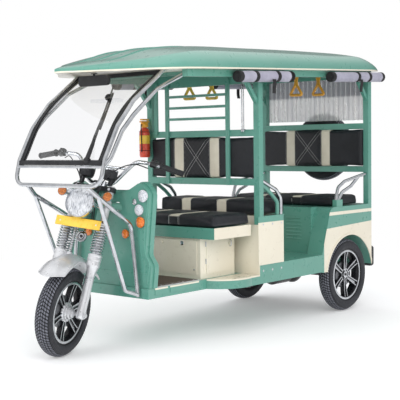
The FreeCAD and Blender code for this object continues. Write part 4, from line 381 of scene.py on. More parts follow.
def vinyl():
    """Soft grained vinyl."""
    shader = Shader("black_vinyl", Sheen_Weight=0.15, Sheen_Roughness=0.5, Coat_Weight=0.12,
                    Coat_Roughness=0.35)
    shader.color(shader.drift(tone(35, 36, 42), tone(58, 59, 66), 5.0, 7.0, 0.6, (0.4, 0.75)))
    shader.uneven(0.4, 0.58, 30.0)
    shader.bump(shader.cells(520.0), 0.0004, 0.5)
    return shader.material


def ribbed_sheet():
    """Pale corrugated sheet with narrow ribs, with painted shade under the roof and a painted highlight and
    shade line on each rib.
    """
    shader = Shader("ribbed_sheet", Transmission_Weight=0.55, IOR=1.25, Coat_Weight=0.3, Coat_Roughness=0.15)
    ribs = shader.wave(shader.axis("Y"), 157.0)
    streak = shader.noise(9.0, 5.0, 0.6, stretch=(1.0, 4.0, 0.25))
    base = shader.mix(shader.band(streak, 0.35, 0.75), tone(244, 242, 242), tone(216, 215, 220))
    # painted shade: the upper part darker, for the shade under the roof
    base = shader.mix(shader.band(shader.axis("Z"), 1.435, 1.45, 0.0, 0.75), base, tone(120, 122, 132))
    # painted highlight: a white line along each rib
    base = shader.mix(shader.band(ribs, 0.93, 0.985, 0.0, 0.8), base, tone(255, 255, 255))
    # painted shade: a dark line along the other side of each rib
    base = shader.mix(shader.band(ribs, -0.985, -0.93, 0.5, 0.0), base, tone(120, 120, 130))
    shader.color(base)
    shader.rough(shader.band(streak, 0.3, 0.8, 0.22, 0.4))
    shader.bump(ribs, 0.0016, 0.4)
    return shader.material


def cloth():
    """Woven cloth with a soft sheen."""
    shader = Shader("roll_cloth", Sheen_Weight=0.35, Sheen_Roughness=0.4)
    waves = [shader.wave(shader.axis(letter), 2700.0) for letter in "XYZ"]
    weave = shader.times(shader.plus(waves[0], waves[2]), waves[1])
    soft = shader.noise(12.0, 6.0, 0.6)
    shader.color(shader.mix(shader.band(soft, 0.35, 0.75), tone(176, 174, 190), tone(150, 148, 166)))
    shader.rough(shader.band(soft, 0.3, 0.8, 0.65, 0.85))
    shader.bump(weave, 0.0003, 0.5)
    return shader.material


def enamel(name, shade, rough=0.3):
    """Plain gloss colour with a faint unevenness."""
    shader = Shader(name, Coat_Weight=0.4, Coat_Roughness=0.1)
    shader.color(shader.drift(shade, shaded(shade, 0.82), 18.0, 6.0, span=(0.35, 0.75)))
    shader.uneven(rough - 0.08, rough + 0.12, 50.0)
    shader.bump(shader.noise(600.0, 3.0), 0.0002, 0.3)
    return shader.material


def wood_mat():
    """A printed mat with planks along the vehicle."""
    shader = Shader("wood_mat", Specular_IOR_Level=0.4)
    grain = shader.noise(14.0, 8.0, 0.6, stretch=(1.0, 14.0, 1.0))
    fine = shader.noise(60.0, 6.0, 0.6, stretch=(1.0, 16.0, 1.0))
    base = shader.mix(shader.band(grain, 0.35, 0.7), tone(92, 74, 62), tone(58, 46, 40))
    base = shader.mix(shader.band(fine, 0.5, 0.8, 0.0, 0.5), base, tone(124, 104, 88))
    seam = shader.size(shader.wave(shader.axis("Y"), 42.0))
    shader.color(shader.mix(shader.band(seam, 0.0, 0.07, 0.8, 0.0), base, tone(26, 22, 20)))
    shader.rough(shader.band(fine, 0.3, 0.8, 0.5, 0.68))
    shader.bump(fine, 0.0006, 0.4)
    return shader.material


def cushion_look(name, face_letter, faces_only=None):
    """Black vinyl with cream stripes, pale stitches and, on a back pad, a quilted middle."""
    shader = Shader(name + "_vinyl", Coat_Weight=0.1, Coat_Roughness=0.3, Specular_IOR_Level=0.4)
    across = shader.axis("Y")
    along = shader.axis("Z") if face_letter == "X" else shader.axis("X")
    stripes = None
    for low, high in STRIPE_SPANS[name]:
        span = shader.inside(across, low - 0.0006, high - 0.0006, 0.0012)
        stripes = span if stripes is None else shader.most(stripes, span)
    if faces_only:
        letter, low, high = faces_only
        stripes = shader.times(stripes, shader.band(shader.axis(letter), low, high))
    cloud = shader.band(shader.noise(6.0, 6.0, 0.6), 0.4, 0.75)
    black = shader.mix(cloud, tone(27, 28, 33), tone(40, 41, 47))
    cream = shader.mix(cloud, tone(226, 218, 200), tone(206, 197, 178))
    shader.color(shader.mix(stripes, black, cream))
    stitch_lines(shader, name, across, along, face_letter)
    shader.uneven(0.42, 0.58, 30.0)
    shader.bump(shader.cells(620.0), 0.0003, 0.5)
    return shader.material


def stitch_lines(shader, name, across, along, face_letter):
    """Dashed thread beside the seams, and the quilting of a back pad."""
    edges = [edge for span in STRIPE_SPANS[name] for edge in span]
    lines = None
    for edge in edges:
        near = shader.size(shader.minus(across, edge))
        line = shader.band(shader.size(shader.minus(near, 0.004)), 0.0005, 0.0009, 1.0, 0.0)
        lines = line if lines is None else shader.most(lines, line)
    lines = shader.times(lines, shader.band(shader.wave(along, 900.0), -0.5, -0.3))
    base = shader.base()
    if face_letter == "X":
        lines, seams = quilt_lines(shader, name, across, along, lines)
        base = shader.mix(seams, base, tone(10, 10, 12))
    shader.color(shader.mix(lines, base, tone(196, 194, 192)))


def quilt_lines(shader, name, across, along, lines):
    """The thread with a crossed pair of pale lines added, and the dark seams of the fine lattice."""
    edges = [edge for span in STRIPE_SPANS[name] for edge in span]
    low, high = (Vector(corner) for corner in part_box(name))
    half = (edges[2] - edges[1]) / 2
    sides = shader.minus(across, (edges[1] + edges[2]) / 2)
    ups = shader.minus(along, (low.z + high.z) / 2)
    middle = shader.band(shader.size(sides), half - 0.002, half - 0.001, 1.0, 0.0)
    seams = None
    for lean in (1, -1):
        slope = (high.z - low.z) / 2 / half * lean
        cross = shader.minus(ups, shader.times(sides, slope))
        cross = shader.size(shader.math("DIVIDE", cross, math.hypot(1.0, slope)))
        pair = shader.size(shader.minus(cross, CROSS_GAP / 2))
        pair = shader.times(shader.band(pair, 0.0005, 0.0012, 0.75, 0.0), middle)
        lines = shader.most(lines, pair)
        lattice = shader.wave(shader.plus(sides, shader.times(ups, lean)), math.pi / LATTICE_PITCH)
        sewn = shader.times(shader.band(shader.size(lattice), 0.06, 0.22, 0.8, 0.0), middle)
        seams = sewn if seams is None else shader.most(seams, sewn)
    return lines, seams


def machined():
    """A cast wheel: black, with bright turned metal on the faces that look outwards."""
    shader = Shader("machined_wheel")
    shader.own_frame()
    axle = shader.node("Attribute")
    axle.attribute_name = "axle"
    turned = shader.node("VectorMath", Vector=shader.node("TexCoord").outputs["Normal"])
    turned.operation = "DOT_PRODUCT"
    shader.put_at(turned, 1, axle.outputs["Vector"])
    facing = shader.size(turned.outputs["Value"])
    bright = shader.band(facing, 0.86, 0.94)
    shader.put(shader.surface, "Metallic", shader.band(facing, 0.86, 0.94, 0.2, 1.0))
    cloud = shader.band(shader.noise(40.0, 6.0), 0.35, 0.75)
    black = shader.mix(cloud, tone(20, 21, 24), tone(38, 39, 43))
    metal = shader.mix(cloud, tone(214, 216, 220), tone(182, 185, 190))
    shader.color(shader.mix(bright, black, metal))
    shader.uneven(0.2, 0.42, 140.0)
    shader.bump(shader.noise(900.0, 3.0), 0.0002, 0.4)
    return shader.material


# Stage

def camera_axes():
    yaw = math.radians(CAMERA_YAW)
    down = math.radians(CAMERA_DOWN)
    ahead = Vector((math.cos(yaw) * math.cos(down), math.sin(yaw) * math.cos(down), -math.sin(down)))
    level = ahead.cross(Vector((0, 0, 1))).normalized()
    upright = level.cross(ahead)
    right = level * math.cos(CAMERA_ROLL) + upright * math.sin(CAMERA_ROLL)
    return right, right.cross(ahead), ahead


def add_camera():
    data = bpy.data.cameras.new("photo_camera")
    data.sensor_width = SENSOR
    data.sensor_fit = "HORIZONTAL"
    data.lens = FOCAL_PIXELS / IMAGE_PIXELS * SENSOR
    data.clip_end = 100.0
    item = bpy.data.objects.new("photo_camera", data)
    right, upright, ahead = camera_axes()
    turn = Matrix((right, upright, -ahead)).transposed().to_4x4()
    item.matrix_world = Matrix.Translation(CAMERA_PLACE) @ turn
    bpy.context.scene.collection.objects.link(item)
    bpy.context.scene.camera = item


def add_lamp(name, place, target, size, power):
    data = bpy.data.lights.new(name, "AREA")
    data.shape = "RECTANGLE"
    data.size, data.size_y = size
    data.energy = power
    item = bpy.data.objects.new(name, data)
    item.location = place
    item.rotation_euler = (Vector(target) - Vector(place)).to_track_quat("-Z", "Y").to_euler()
    item.visible_glossy = False
    bpy.context.scene.collection.objects.link(item)


def add_world():
    world = bpy.data.worlds.new("studio")
    bpy.context.scene.world = world
    world.use_nodes = True
    tree = world.node_tree
    tree.nodes.clear()
    out = tree.nodes.new("ShaderNodeOutputWorld")
    path = tree.nodes.new("ShaderNodeLightPath")
    seen = tree.nodes.new("ShaderNodeMath")
    seen.operation = "MAXIMUM"
    tree.links.new(path.outputs["Is Camera Ray"], seen.inputs[0])
    tree.links.new(path.outputs["Is Transmission Ray"], seen.inputs[1])
    soft = tree.nodes.new("ShaderNodeBackground")
    soft.inputs["Color"].default_value = (0.97, 0.98, 1.0, 1.0)
    soft.inputs["Strength"].default_value = 0.8
    white = tree.nodes.new("ShaderNodeBackground")
    white.inputs["Color"].default_value = (1.0, 1.0, 1.0, 1.0)
    white.inputs["Strength"].default_value = 1.0
    bright = tree.nodes.new("ShaderNodeBackground")
    ramp = glossy_ramp(tree)
    tree.links.new(ramp, bright.inputs["Color"])
    first = tree.nodes.new("ShaderNodeMixShader")
    tree.links.new(path.outputs["Is Glossy Ray"], first.inputs[0])
    tree.links.new(soft.outputs[0], first.inputs[1])
    tree.links.new(bright.outputs[0], first.inputs[2])
    last = tree.nodes.new("ShaderNodeMixShader")
    tree.links.new(seen.outputs[0], last.inputs[0])
    tree.links.new(first.outputs[0], last.inputs[1])
    tree.links.new(white.outputs[0], last.inputs[2])
    tree.links.new(last.outputs[0], out.inputs["Surface"])


def glossy_ramp(tree):
    """What polished metal sees: a white studio with dark screens behind the vehicle and at one side."""
    def node(kind, **inputs):
        item = tree.nodes.new("ShaderNode" + kind)
        for index, amount in enumerate(inputs.values()):
            if isinstance(amount, bpy.types.NodeSocket):
                tree.links.new(amount, item.inputs[index])
            else:
                item.inputs[index].default_value = amount
        return item

    def calc(operation, first, second=0.0):
        item = node("Math", first=first, second=second)
        item.operation = operation
        return item.outputs[0]

    def span(amount, low, high, first, last):
        return node("MapRange", amount=amount, low=low, high=high, first=first, last=last).outputs[0]

    place = tree.nodes.new("ShaderNodeTexCoord")
    parts = node("SeparateXYZ", place=place.outputs["Generated"]).outputs
    bearing = calc("ARCTAN2", parts["Y"], parts["X"])
    behind = calc("COSINE", calc("SUBTRACT", bearing, math.radians(221)))
    screen = span(behind, -0.1, 0.6, 0.0, 0.82)
    slit = span(calc("COSINE", calc("SUBTRACT", bearing, math.radians(95))), 0.95, 0.985, 0.0, 0.6)
    level = calc("ABSOLUTE", parts["Z"])
    low = span(level, 0.3, 0.55, 1.0, 0.0)
    dark = calc("MULTIPLY", calc("MAXIMUM", screen, slit), low)
    base = span(parts["Z"], -0.6, 0.9, 0.62, 0.86)
    return calc("MULTIPLY", base, calc("SUBTRACT", 1.0, dark))


def add_floor():
    """A pale floor that keeps the shadow and is white to the camera."""
    mesh = bpy.data.meshes.new("studio_floor")
    corners = [(across * FLOOR_HALF, along * FLOOR_HALF, 0) for across,
               along in ((-1, -1), (1, -1), (1, 1), (-1, 1))]
    mesh.from_pydata(corners, [], [(0, 1, 2, 3)])
    floor = bpy.data.objects.new("studio_floor", mesh)
    bpy.context.scene.collection.objects.link(floor)
    shader = Shader("studio_floor", Base_Color=FLOOR_TONE, Roughness=1.0, Specular_IOR_Level=0.0)
    path = shader.node("LightPath")
    seen = shader.most(path.outputs["Is Camera Ray"], path.outputs["Is Transmission Ray"])
    seen = shader.most(seen, path.outputs["Is Glossy Ray"])
    reach = shader.node("VectorMath", Vector=shader.place)
    reach.operation = "LENGTH"
    far = shader.band(reach.outputs["Value"], 1.9, 4.2)
    far.node.interpolation_type = "SMOOTHSTEP"
    shader.color(shader.mix(shader.times(far, seen), FLOOR_TONE, (0.0, 0.0, 0.0, 1.0)))
    shader.put(shader.surface, "Emission Color", (1.0, 1.0, 1.0, 1.0))
    glow = shader.times(seen, shader.band(far, 0.0, 1.0, 0.22, 1.0))
    shader.put(shader.surface, "Emission Strength", glow)
    mesh.materials.append(shader.material)


def add_stage():
    scene = bpy.context.scene
    scene.view_settings.view_transform = "Standard"
    add_world()
    add_camera()
    add_floor()
    add_lamp("key_lamp", (3.4, 3.6, 3.2), (0.0, 0.0, 0.8), (2.6, 2.6), 88.0)
    add_lamp("front_lamp", (4.6, -0.6, 1.8), (0.3, 0.0, 0.7), (2.0, 2.4), 45.0)
    add_lamp("side_lamp", (-0.6, 4.4, 1.3), (-0.4, 0.0, 0.9), (3.0, 1.6), 20.0)
    add_lamp("back_lamp", (-3.5, -2.5, 3.2), (0.0, 0.0, 1.0), (3.0, 2.0), 40.0)


# Looks of the carried-over solids

def make_looks():
    """Every material by its short name."""
    return {
        "teal": paint("teal_paint", TEAL, TEAL_DEEP).material,
        "cream": paint("cream_paint", CREAM, CREAM_DEEP).material,
        "chrome": chrome(),
        "steel": cast_metal("satin_steel", tone(190, 192, 196), 0.32, 0.75),
        "black_metal": enamel("black_enamel", tone(30, 31, 34), 0.34),
        "black_plastic": plastic("black_plastic", tone(30, 31, 35)),
        "gasket": plastic("gasket_rubber", tone(20, 21, 25), 0.5),
        "rubber": rubber(),
        "alloy": cast_metal("alloy", tone(190, 192, 196), 0.24),
        "glass": clear_glass(),
        "amber_lens": lens("amber_lens", tone(244, 120, 18)),
        "red_lens": lens("red_lens", tone(190, 24, 20)),
        "vinyl": vinyl(),
        "ribbed": ribbed_sheet(),
        "yellow": enamel("yellow_enamel", tone(250, 206, 70)),
        "orange": enamel("orange_enamel", tone(246, 172, 48)),
        "red": enamel("red_enamel", tone(226, 80, 54)),
        # painted light: one yellow webbing in two copies, a deeper shaded one and a paler lit one, chosen by
        # the strap's side
        "strap": enamel("strap_yellow", tone(238, 170, 56), 0.45),
        "near_strap": enamel("lit_strap_yellow", tone(252, 208, 84), 0.45),
        "mat": wood_mat(),
        "roll": cloth(),
        "fender": two_tone("fender_paint", fender_mask),
        "panel": two_tone("panel_paint", below(0.653)),
        "seat_rim": two_tone("seat_rim_paint", lambda shader: outer_side(shader, 0.4189)),
        "step": two_tone("step_paint", step_mask),
        "roof": roof_paint(),
        "roof_top": paint("roof_top", TEAL, TEAL_DEEP, 0.3, 0.22).material,
        "tread": tread_rubber(),
        "lamp_glass": lamp_glass(),
        "cover_glass": cover_glass(),
        "cowl_lamp": cowl_lamp(),
        "dial": enamel("dial_face", tone(28, 30, 40), 0.3),
        "bright": cast_metal("bright_metal", tone(234, 235, 238), 0.3, 0.62),
        "frame_paint": frame_paint(),
        "machined": machined(),
        "drum": cast_metal("drum_metal", tone(120, 122, 126), 0.4),
        "webbing": plastic("black_webbing", tone(24, 24, 27), 0.7, 900.0, 0.0004),
    }


NODE_LOOKS = {
    "front_tyre": "rubber", "rear_left_tyre": "rubber", "rear_right_tyre": "rubber", "spare_tyre": "rubber",
    "front_rim": "alloy", "rear_left_rim": "alloy", "rear_right_rim": "alloy", "spare_rim": "alloy",
    "fork_legs": "steel", "fork_springs": "chrome", "fork_yokes": "black_metal", "handlebar": "chrome",
    "handlebar_controls": "black_plastic", "headlamp": "chrome", "instrument_pods": "black_plastic",
    "front_turn_signals": "amber_lens", "number_plate": "yellow", "front_mudguard": "chrome",
    "horn": "chrome",
    "chassis_frame": "frame_paint", "rear_axle": "black_metal", "drive_motor": "black_metal",
    "leaf_springs": "black_metal", "passenger_floor": "teal", "driver_floor": "teal", "floor_mat": "mat",
    "step_plates": "step", "rear_fenders": "fender", "body_frame": "teal", "partition_bars": "teal",
    "partition_pad": "vinyl", "rear_backrest": "vinyl", "roof": "roof", "driver_seat_rim": "seat_rim",
    "driver_cushion": "vinyl", "driver_box": "cream", "box_front_door": "cream", "box_side_door": "cream",
    "middle_bench_base": "cream", "middle_cushion": "vinyl", "side_panels": "panel",
    "rear_bench_base": "teal", "battery_block": "black_plastic", "rear_cushion": "vinyl",
    "windscreen_glass": "glass", "windscreen_gasket": "gasket", "windscreen_tubes": "chrome",
    "crash_guard": "chrome", "front_cowl": "teal", "cowl_lamps": "cowl_lamp", "grab_rails": "chrome",
    "rear_bumper": "black_plastic", "curtain_rolls": "roll", "rear_window": "ribbed",
    "fire_extinguisher": "red", "inside_mirror": "black_plastic", "wiper": "black_plastic",
    "tail_lamps": "red_lens", "hand_straps": "strap",
}


def dress_nodes(frame, looks):
    for name, item in frame["nodes"].items():
        item.data.materials.clear()
        item.data.materials.append(looks[NODE_LOOKS.get(name, "black_plastic")])


# Forms

class Form:
    """Points and faces gathered from simple forms before they become one mesh."""

    def __init__(self):
        self.points = []
        self.faces = []

    def rows(self, rows, wrap=False, ring=True, caps=False):
        """Quads between rows of points. Each row closes on itself, and wrap joins the last to the first."""
        start = len(self.points)
        count = len(rows[0])
        for row in rows:
            self.points.extend(Vector(point) for point in row)
        for row in range(len(rows) if wrap else len(rows) - 1):
            here = start + row * count
            there = start + (row + 1) % len(rows) * count
            for index in range(count if ring else count - 1):
                following = (index + 1) % count
                self.faces.append((here + index, here + following, there + following, there + index))
        if caps:
            last = start + (len(rows) - 1) * count
            self.faces.append(tuple(start + index for index in reversed(range(count))))
            self.faces.append(tuple(last + index for index in range(count)))

    def mesh(self, name, sharp=38.0):
        mesh = bpy.data.meshes.new(name)
        mesh.from_pydata([tuple(point) for point in self.points], [], self.faces)
        work = bmesh.new()
        work.from_mesh(mesh)
        bmesh.ops.recalc_face_normals(work, faces=work.faces)
        work.to_mesh(mesh)
        work.free()
        mesh.shade_smooth()
        mesh.set_sharp_from_angle(angle=math.radians(sharp))
        return mesh


def piece(name, mesh, look, body="chassis", nodes=(), place=None):
    """A mesh as an object of the scene that rides a body and may stand for solids."""
    if place is not None:
        mesh = mesh.copy()
        mesh.name = name
        keep_own_frame(mesh, place)
    item = bpy.data.objects.new(name, mesh)
    bpy.context.scene.collection.objects.link(item)
    mesh.materials.append(look)
    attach(item, body)
    if nodes:
        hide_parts(*nodes)
    return item


def keep_own_frame(mesh, place):
    """Move a mesh to its place, and keep where its points and its side axis lay in its own frame."""
    own = mesh.attributes.new("own", "FLOAT_VECTOR", "POINT")
    axle = mesh.attributes.new("axle", "FLOAT_VECTOR", "POINT")
    own.data.foreach_set("vector", [level for point in mesh.vertices for level in point.co])
    side = place.to_3x3() @ Vector((0, 1, 0))
    axle.data.foreach_set("vector", list(side) * len(mesh.vertices))
    mesh.transform(place)


def turns(count):
    """Angles spread evenly round a full turn."""
    return [2 * math.pi * index / count for index in range(count)]


def side_axes(axis):
    first = axis.orthogonal().normalized()
    return first, axis.cross(first)


def lathe(form, profile, place=(0, 0, 0), axis=(0, 0, 1), count=48):
    """A profile of (radius, along) places turned about an axis."""
    axis = Vector(axis).normalized()
    first, second = side_axes(axis)
    rows = []
    for radius, along in profile:
        centre = Vector(place) + axis * along
        rows.append([centre + (first * math.cos(turn) + second * math.sin(turn)) * max(radius, 1e-5)
                     for turn in turns(count)])
    form.rows(rows, caps=True)


def tube(form, path, radius, sides=10, wrap=False):
    """A round bar along a path, of one radius or of one for each point."""
    path = [Vector(point) for point in path]
    rows = []
    side = None
    for index, point in enumerate(path):
        before = path[index - 1] if index or wrap else point
        after = path[(index + 1) % len(path)] if wrap or index + 1 < len(path) else point
        along = (after - before).normalized()
        side = along.orthogonal() if side is None else side - along * side.dot(along)
        side.normalize()
        other = along.cross(side)
        size = radius[index] if isinstance(radius, (list, tuple)) else radius
        rows.append([point + (side * math.cos(turn) + other * math.sin(turn)) * size
                     for turn in turns(sides)])
    form.rows(rows, wrap=wrap, caps=not wrap)


def smooth_path(points, steps=8):
    """A curve through every point."""
    points = [Vector(point) for point in points]
    ends = [points[0] * 2 - points[1]] + points + [points[-1] * 2 - points[-2]]
    path = []
    for index in range(1, len(ends) - 2):
        first, start, end, last = ends[index - 1:index + 3]
        for step in range(steps):
            t = step / steps
            path.append(0.5 * (2 * start + (end - first) * t + (2 * first - 5 * start + 4 * end - last) * t ** 2
                               + (3 * start - first - 3 * end + last) * t ** 3))
    return path + [points[-1]]


def ribbon(form, path, across, width, thickness):
    """A flat strap along a path, with rounded edges."""
    path = [Vector(point) for point in path]
    across = Vector(across).normalized()
    rows = []
    for index, point in enumerate(path):
        along = path[min(index + 1, len(path) - 1)] - path[max(index - 1, 0)]
        up = across.cross(along).normalized()
        rows.append([point + across * width * side + up * thickness * lift
                     for side, lift in ((-0.5, -0.2), (-0.46, -0.5), (0.46, -0.5), (0.5, -0.2),
                                        (0.5, 0.2), (0.46, 0.5), (-0.46, 0.5), (-0.5, 0.2))])
    form.rows(rows, caps=True)


def slab(form, low, high, rounding, cell=None):
    """A box with rounded edges. A cell size divides it into even cells."""
    low = Vector(low)
    high = Vector(high)
    size = high - low
    levels = []
    for axis in range(3):
        if cell:
            count = max(2, round(size[axis] / cell))
            levels.append([low[axis] + size[axis] * step / count for step in range(count + 1)])
        else:
            near = [rounding * share for share in (0.0, 0.3, 1.0)]
            levels.append([low[axis] + step for step in near] + [high[axis] - step for step in reversed(near)])
    known = {}

    def corner(key):
        if key not in known:
            point = Vector(levels[axis][key[axis]] for axis in range(3))
            centre = Vector(min(max(point[axis], low[axis] + rounding), high[axis] - rounding)
                            for axis in range(3))
            offset = point - centre
            if offset.length > 1e-9:
                point = centre + offset.normalized() * rounding
            known[key] = len(form.points)
            form.points.append(point)
        return known[key]

    for axis in range(3):
        first, second = (axis + 1) % 3, (axis + 2) % 3
        for level in (0, len(levels[axis]) - 1):
            for a in range(len(levels[first]) - 1):
                for b in range(len(levels[second]) - 1):
                    face = []
                    for da, db in ((0, 0), (1, 0), (1, 1), (0, 1)):
                        key = [level] * 3
                        key[first] = a + da
                        key[second] = b + db
                        face.append(corner(tuple(key)))
                    form.faces.append(tuple(face if level else reversed(face)))


# Cushions

STRIPE_SPANS = {
    "partition_pad": ((-0.222, -0.148), (0.069, 0.144)),
    "rear_backrest": ((-0.214, -0.143), (0.086, 0.157)),
    "driver_cushion": ((-0.222, -0.148), (0.069, 0.144)),
    "middle_cushion": ((-0.222, -0.148), (0.069, 0.144)),
    "rear_cushion": ((-0.214, -0.143), (0.086, 0.157)),
}
CUSHION_CELL = 0.0085
CUSHION_SWELL = 0.004
PAD_REACH = {"partition_pad": (0.0, 0.036, 0.005), "rear_backrest": (0.0, 0.034, 0.006)}
SEAM_DEPTH = 0.0035
LATTICE_PITCH = 0.034
CROSS_GAP = 0.018
CUSHION_FRAMES = 20


def inflate(item, pinned, cap):
    """Blow the piece up as cloth, held at its seams, with no point moved further than the cap."""
    group = item.vertex_groups.new(name="seams")
    for index, weight in pinned:
        group.add([index], weight, "REPLACE")
    skin = item.modifiers.new("fill", "CLOTH")
    skin.settings.use_pressure = True
    skin.settings.uniform_pressure_force = 4.0
    skin.settings.effector_weights.gravity = 0.0
    skin.settings.quality = 4
    skin.settings.vertex_group_mass = "seams"
    skin.settings.pin_stiffness = 1.0
    skin.point_cache.frame_start = 1
    skin.point_cache.frame_end = CUSHION_FRAMES
    scene = bpy.context.scene
    for frame_number in range(1, CUSHION_FRAMES + 1):
        scene.frame_set(frame_number)
    shaped = item.evaluated_get(bpy.context.evaluated_depsgraph_get()).to_mesh()
    moved = [point.co.copy() for point in shaped.vertices]
    item.modifiers.remove(skin)
    for point, place in zip(item.data.vertices, moved):
        step = place - point.co
        if step.length > cap:
            step *= cap / step.length
        point.co += step
    scene.frame_set(1)


def groove(distance, half):
    """How deep a sewn line is at a distance from it, from 0 to 1."""
    share = min(1.0, abs(distance) / half)
    return (1.0 - share * share) ** 2


def cushion(name, look, face_axis):
    """A sewn pad in its solid's space: stripes between seams, and a quilted middle on a back pad."""
    low, high = (Vector(corner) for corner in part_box(name))
    more = Vector(PAD_REACH.get(name, (0.0, 0.0, 0.0)))
    low -= more
    high += more
    upright = face_axis == 0
    inset = Vector((CUSHION_SWELL,) * 3)
    form = Form()
    slab(form, low + inset, high - inset, 0.014, CUSHION_CELL)
    mesh = form.mesh(name + "_sewn", sharp=180)
    item = piece(name + "_sewn", mesh, look, nodes=(name,))
    edges = [edge for span in STRIPE_SPANS[name] for edge in span]
    span = high - low
    pinned = []
    for point in mesh.vertices:
        seam = max(groove(point.co.y - edge, CUSHION_CELL * 0.8) for edge in edges)
        resting = point.co[face_axis] < low[face_axis] + CUSHION_SWELL + CUSHION_CELL
        weight = 1.0 if resting and not upright else 0.75 * seam
        if weight > 0.02:
            pinned.append((point.index, weight))
    inflate(item, pinned, CUSHION_SWELL * 2.2)
    subdivide(item)
    middle = (edges[1] + edges[2]) / 2
    half = (edges[2] - edges[1]) / 2
    centre = (low + high) / 2
    normals = [point.normal.copy() for point in mesh.vertices]
    for point, normal in zip(mesh.vertices, normals):
        place = point.co.copy()
        depth = SEAM_DEPTH * max(groove(place.y - edge, 0.007) for edge in edges)
        side = abs(normal[face_axis])
        if upright and side > 0.6:
            depth += quilt_depth(place, middle, half, centre.z, span.z / 2)
        pucker = noise.noise(Vector((place.x * 9.0, place.y * 14.0, place.z * 22.0)))
        edge_pull = 1.0 - min(1.0, side * 1.2)
        depth += 0.0012 * (1.0 + pucker) * (0.5 + edge_pull)
        place -= normal * depth
        for axis in range(3):
            place[axis] = min(max(place[axis], low[axis] + 0.0002), high[axis] - 0.0002)
        point.co = place


def quilt_depth(place, middle, half, level, tall):
    """Sewn lines of the middle panel: a fine lattice and one large crossed pair."""
    across = place.y - middle
    if abs(across) > half:
        return 0.0
    up = place.z - level
    depth = 0.0
    for lean in (1, -1):
        lattice = math.sin((across + lean * up) * math.pi / LATTICE_PITCH)
        depth = max(depth, 0.0026 * groove(lattice, 0.35))
        slope = tall / half * lean
        cross = (up - slope * across) / math.hypot(1.0, slope)
        for offset in (-CROSS_GAP / 2, CROSS_GAP / 2):
            depth = max(depth, 0.003 * groove(cross - offset, 0.005))
    return depth


def subdivide(item):
    """One level of smooth subdivision, kept in the mesh."""
    smooth = item.modifiers.new("smooth", "SUBSURF")
    smooth.levels = 1
    smooth.render_levels = 1
    shaped = item.evaluated_get(bpy.context.evaluated_depsgraph_get()).to_mesh()
    work = bmesh.new()
    work.from_mesh(shaped)
    item.modifiers.remove(smooth)
    work.to_mesh(item.data)
    work.free()
    item.data.shade_smooth()


def add_cushions(looks):
    for name, axis, stripes in (("partition_pad", 0, None), ("rear_backrest", 0, None),
                                ("driver_cushion", 2, ("Z", 0.7, 0.708)), ("middle_cushion", 2, None),
                                ("rear_cushion", 2, ("Z", 0.752, 0.76))):
        cushion(name, cushion_look(name, "X" if axis == 0 else "Z", stripes), axis)


# Wheels

WHEELS = {
    "front": ("front_tyre", "front_rim", "front_wheel"),
    "rear_left": ("rear_left_tyre", "rear_left_rim", "rear_left_wheel"),
    "rear_right": ("rear_right_tyre", "rear_right_rim", "rear_right_wheel"),
    "spare": ("spare_tyre", "spare_rim", "chassis"),
}
FORK_FOOT = (1.167182, 0.014194, 0.238647)
FORK_RAKE = -20.2
FORK_TURN = 20.0
TYRE_RADIUS = 0.24
BLOCKS_ROUND = 80
BLOCK_ROWS = 6
STEPS_A_BLOCK = 8
TREAD_HALF = 0.039
GROOVE_DEPTH = 0.0042
TREAD_TOP = TYRE_RADIUS - 0.0003
SHOULDER_LUG = 0.0196
CROWN_DROP = 0.0165
CROWN_POWER = 2.4


def fork_place():
    """The front axle's frame: forward, left and up along the fork."""
    rake = Matrix.Rotation(math.radians(FORK_RAKE), 4, "Y")
    return Matrix.Translation(FORK_FOOT) @ rake @ Matrix.Rotation(math.radians(FORK_TURN), 4, "Z")


def wheel_place(which):
    """The wheel's own frame, with its outer side along Y."""
    if which == "front":
        return fork_place()
    low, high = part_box(WHEELS[which][0])
    centre = (Vector(low) + Vector(high)) / 2
    turn = {"rear_left": 0.0, "rear_right": math.pi, "spare": math.pi / 2}[which]
    return Matrix.Translation(centre) @ Matrix.Rotation(turn, 4, "Z")


def tyre_section():
    """(across, radius, tread) places from one bead over the crown to the other."""
    side = [(0.0325, 0.1585), (0.0345, 0.1655), (0.0368, 0.168), (0.0372, 0.172), (0.0398, 0.174),
            (0.0428, 0.1785), (0.0455, 0.186), (0.0468, 0.1945), (0.0466, 0.203), (0.0455, 0.2095),
            (0.0462, 0.2115), (0.0448, 0.2155), (0.0425, 0.2195)]
    places = [(across, radius, 0.0) for across, radius in side]
    count = BLOCK_ROWS * 5
    for step in range(count + 1):
        across = TREAD_HALF * (1 - 2 * step / count)
        rise = CROWN_DROP * (abs(across) / TREAD_HALF) ** CROWN_POWER
        places.append((across, TREAD_TOP - rise, 1.0))
    return places + [(-across, radius, 0.0) for across, radius in reversed(side)]


def block_height(across, turn):
    """How far the tread is cut down at a place: rows of small blocks, shifted from row to row."""
    share = (across / TREAD_HALF + 1) / 2 * BLOCK_ROWS
    row = min(BLOCK_ROWS - 1, int(share))
    inner = share - row
    shift = 0.37 * row
    slant = 0.55 * inner if across > 0 else -0.55 * inner
    along = (turn * BLOCKS_ROUND / (2 * math.pi) + shift + slant) % 1.0
    edge = min(inner, 1 - inner) / 0.22
    end = min(along, 1 - along) / 0.26
    return 1.0 - min(1.0, edge) * min(1.0, end)


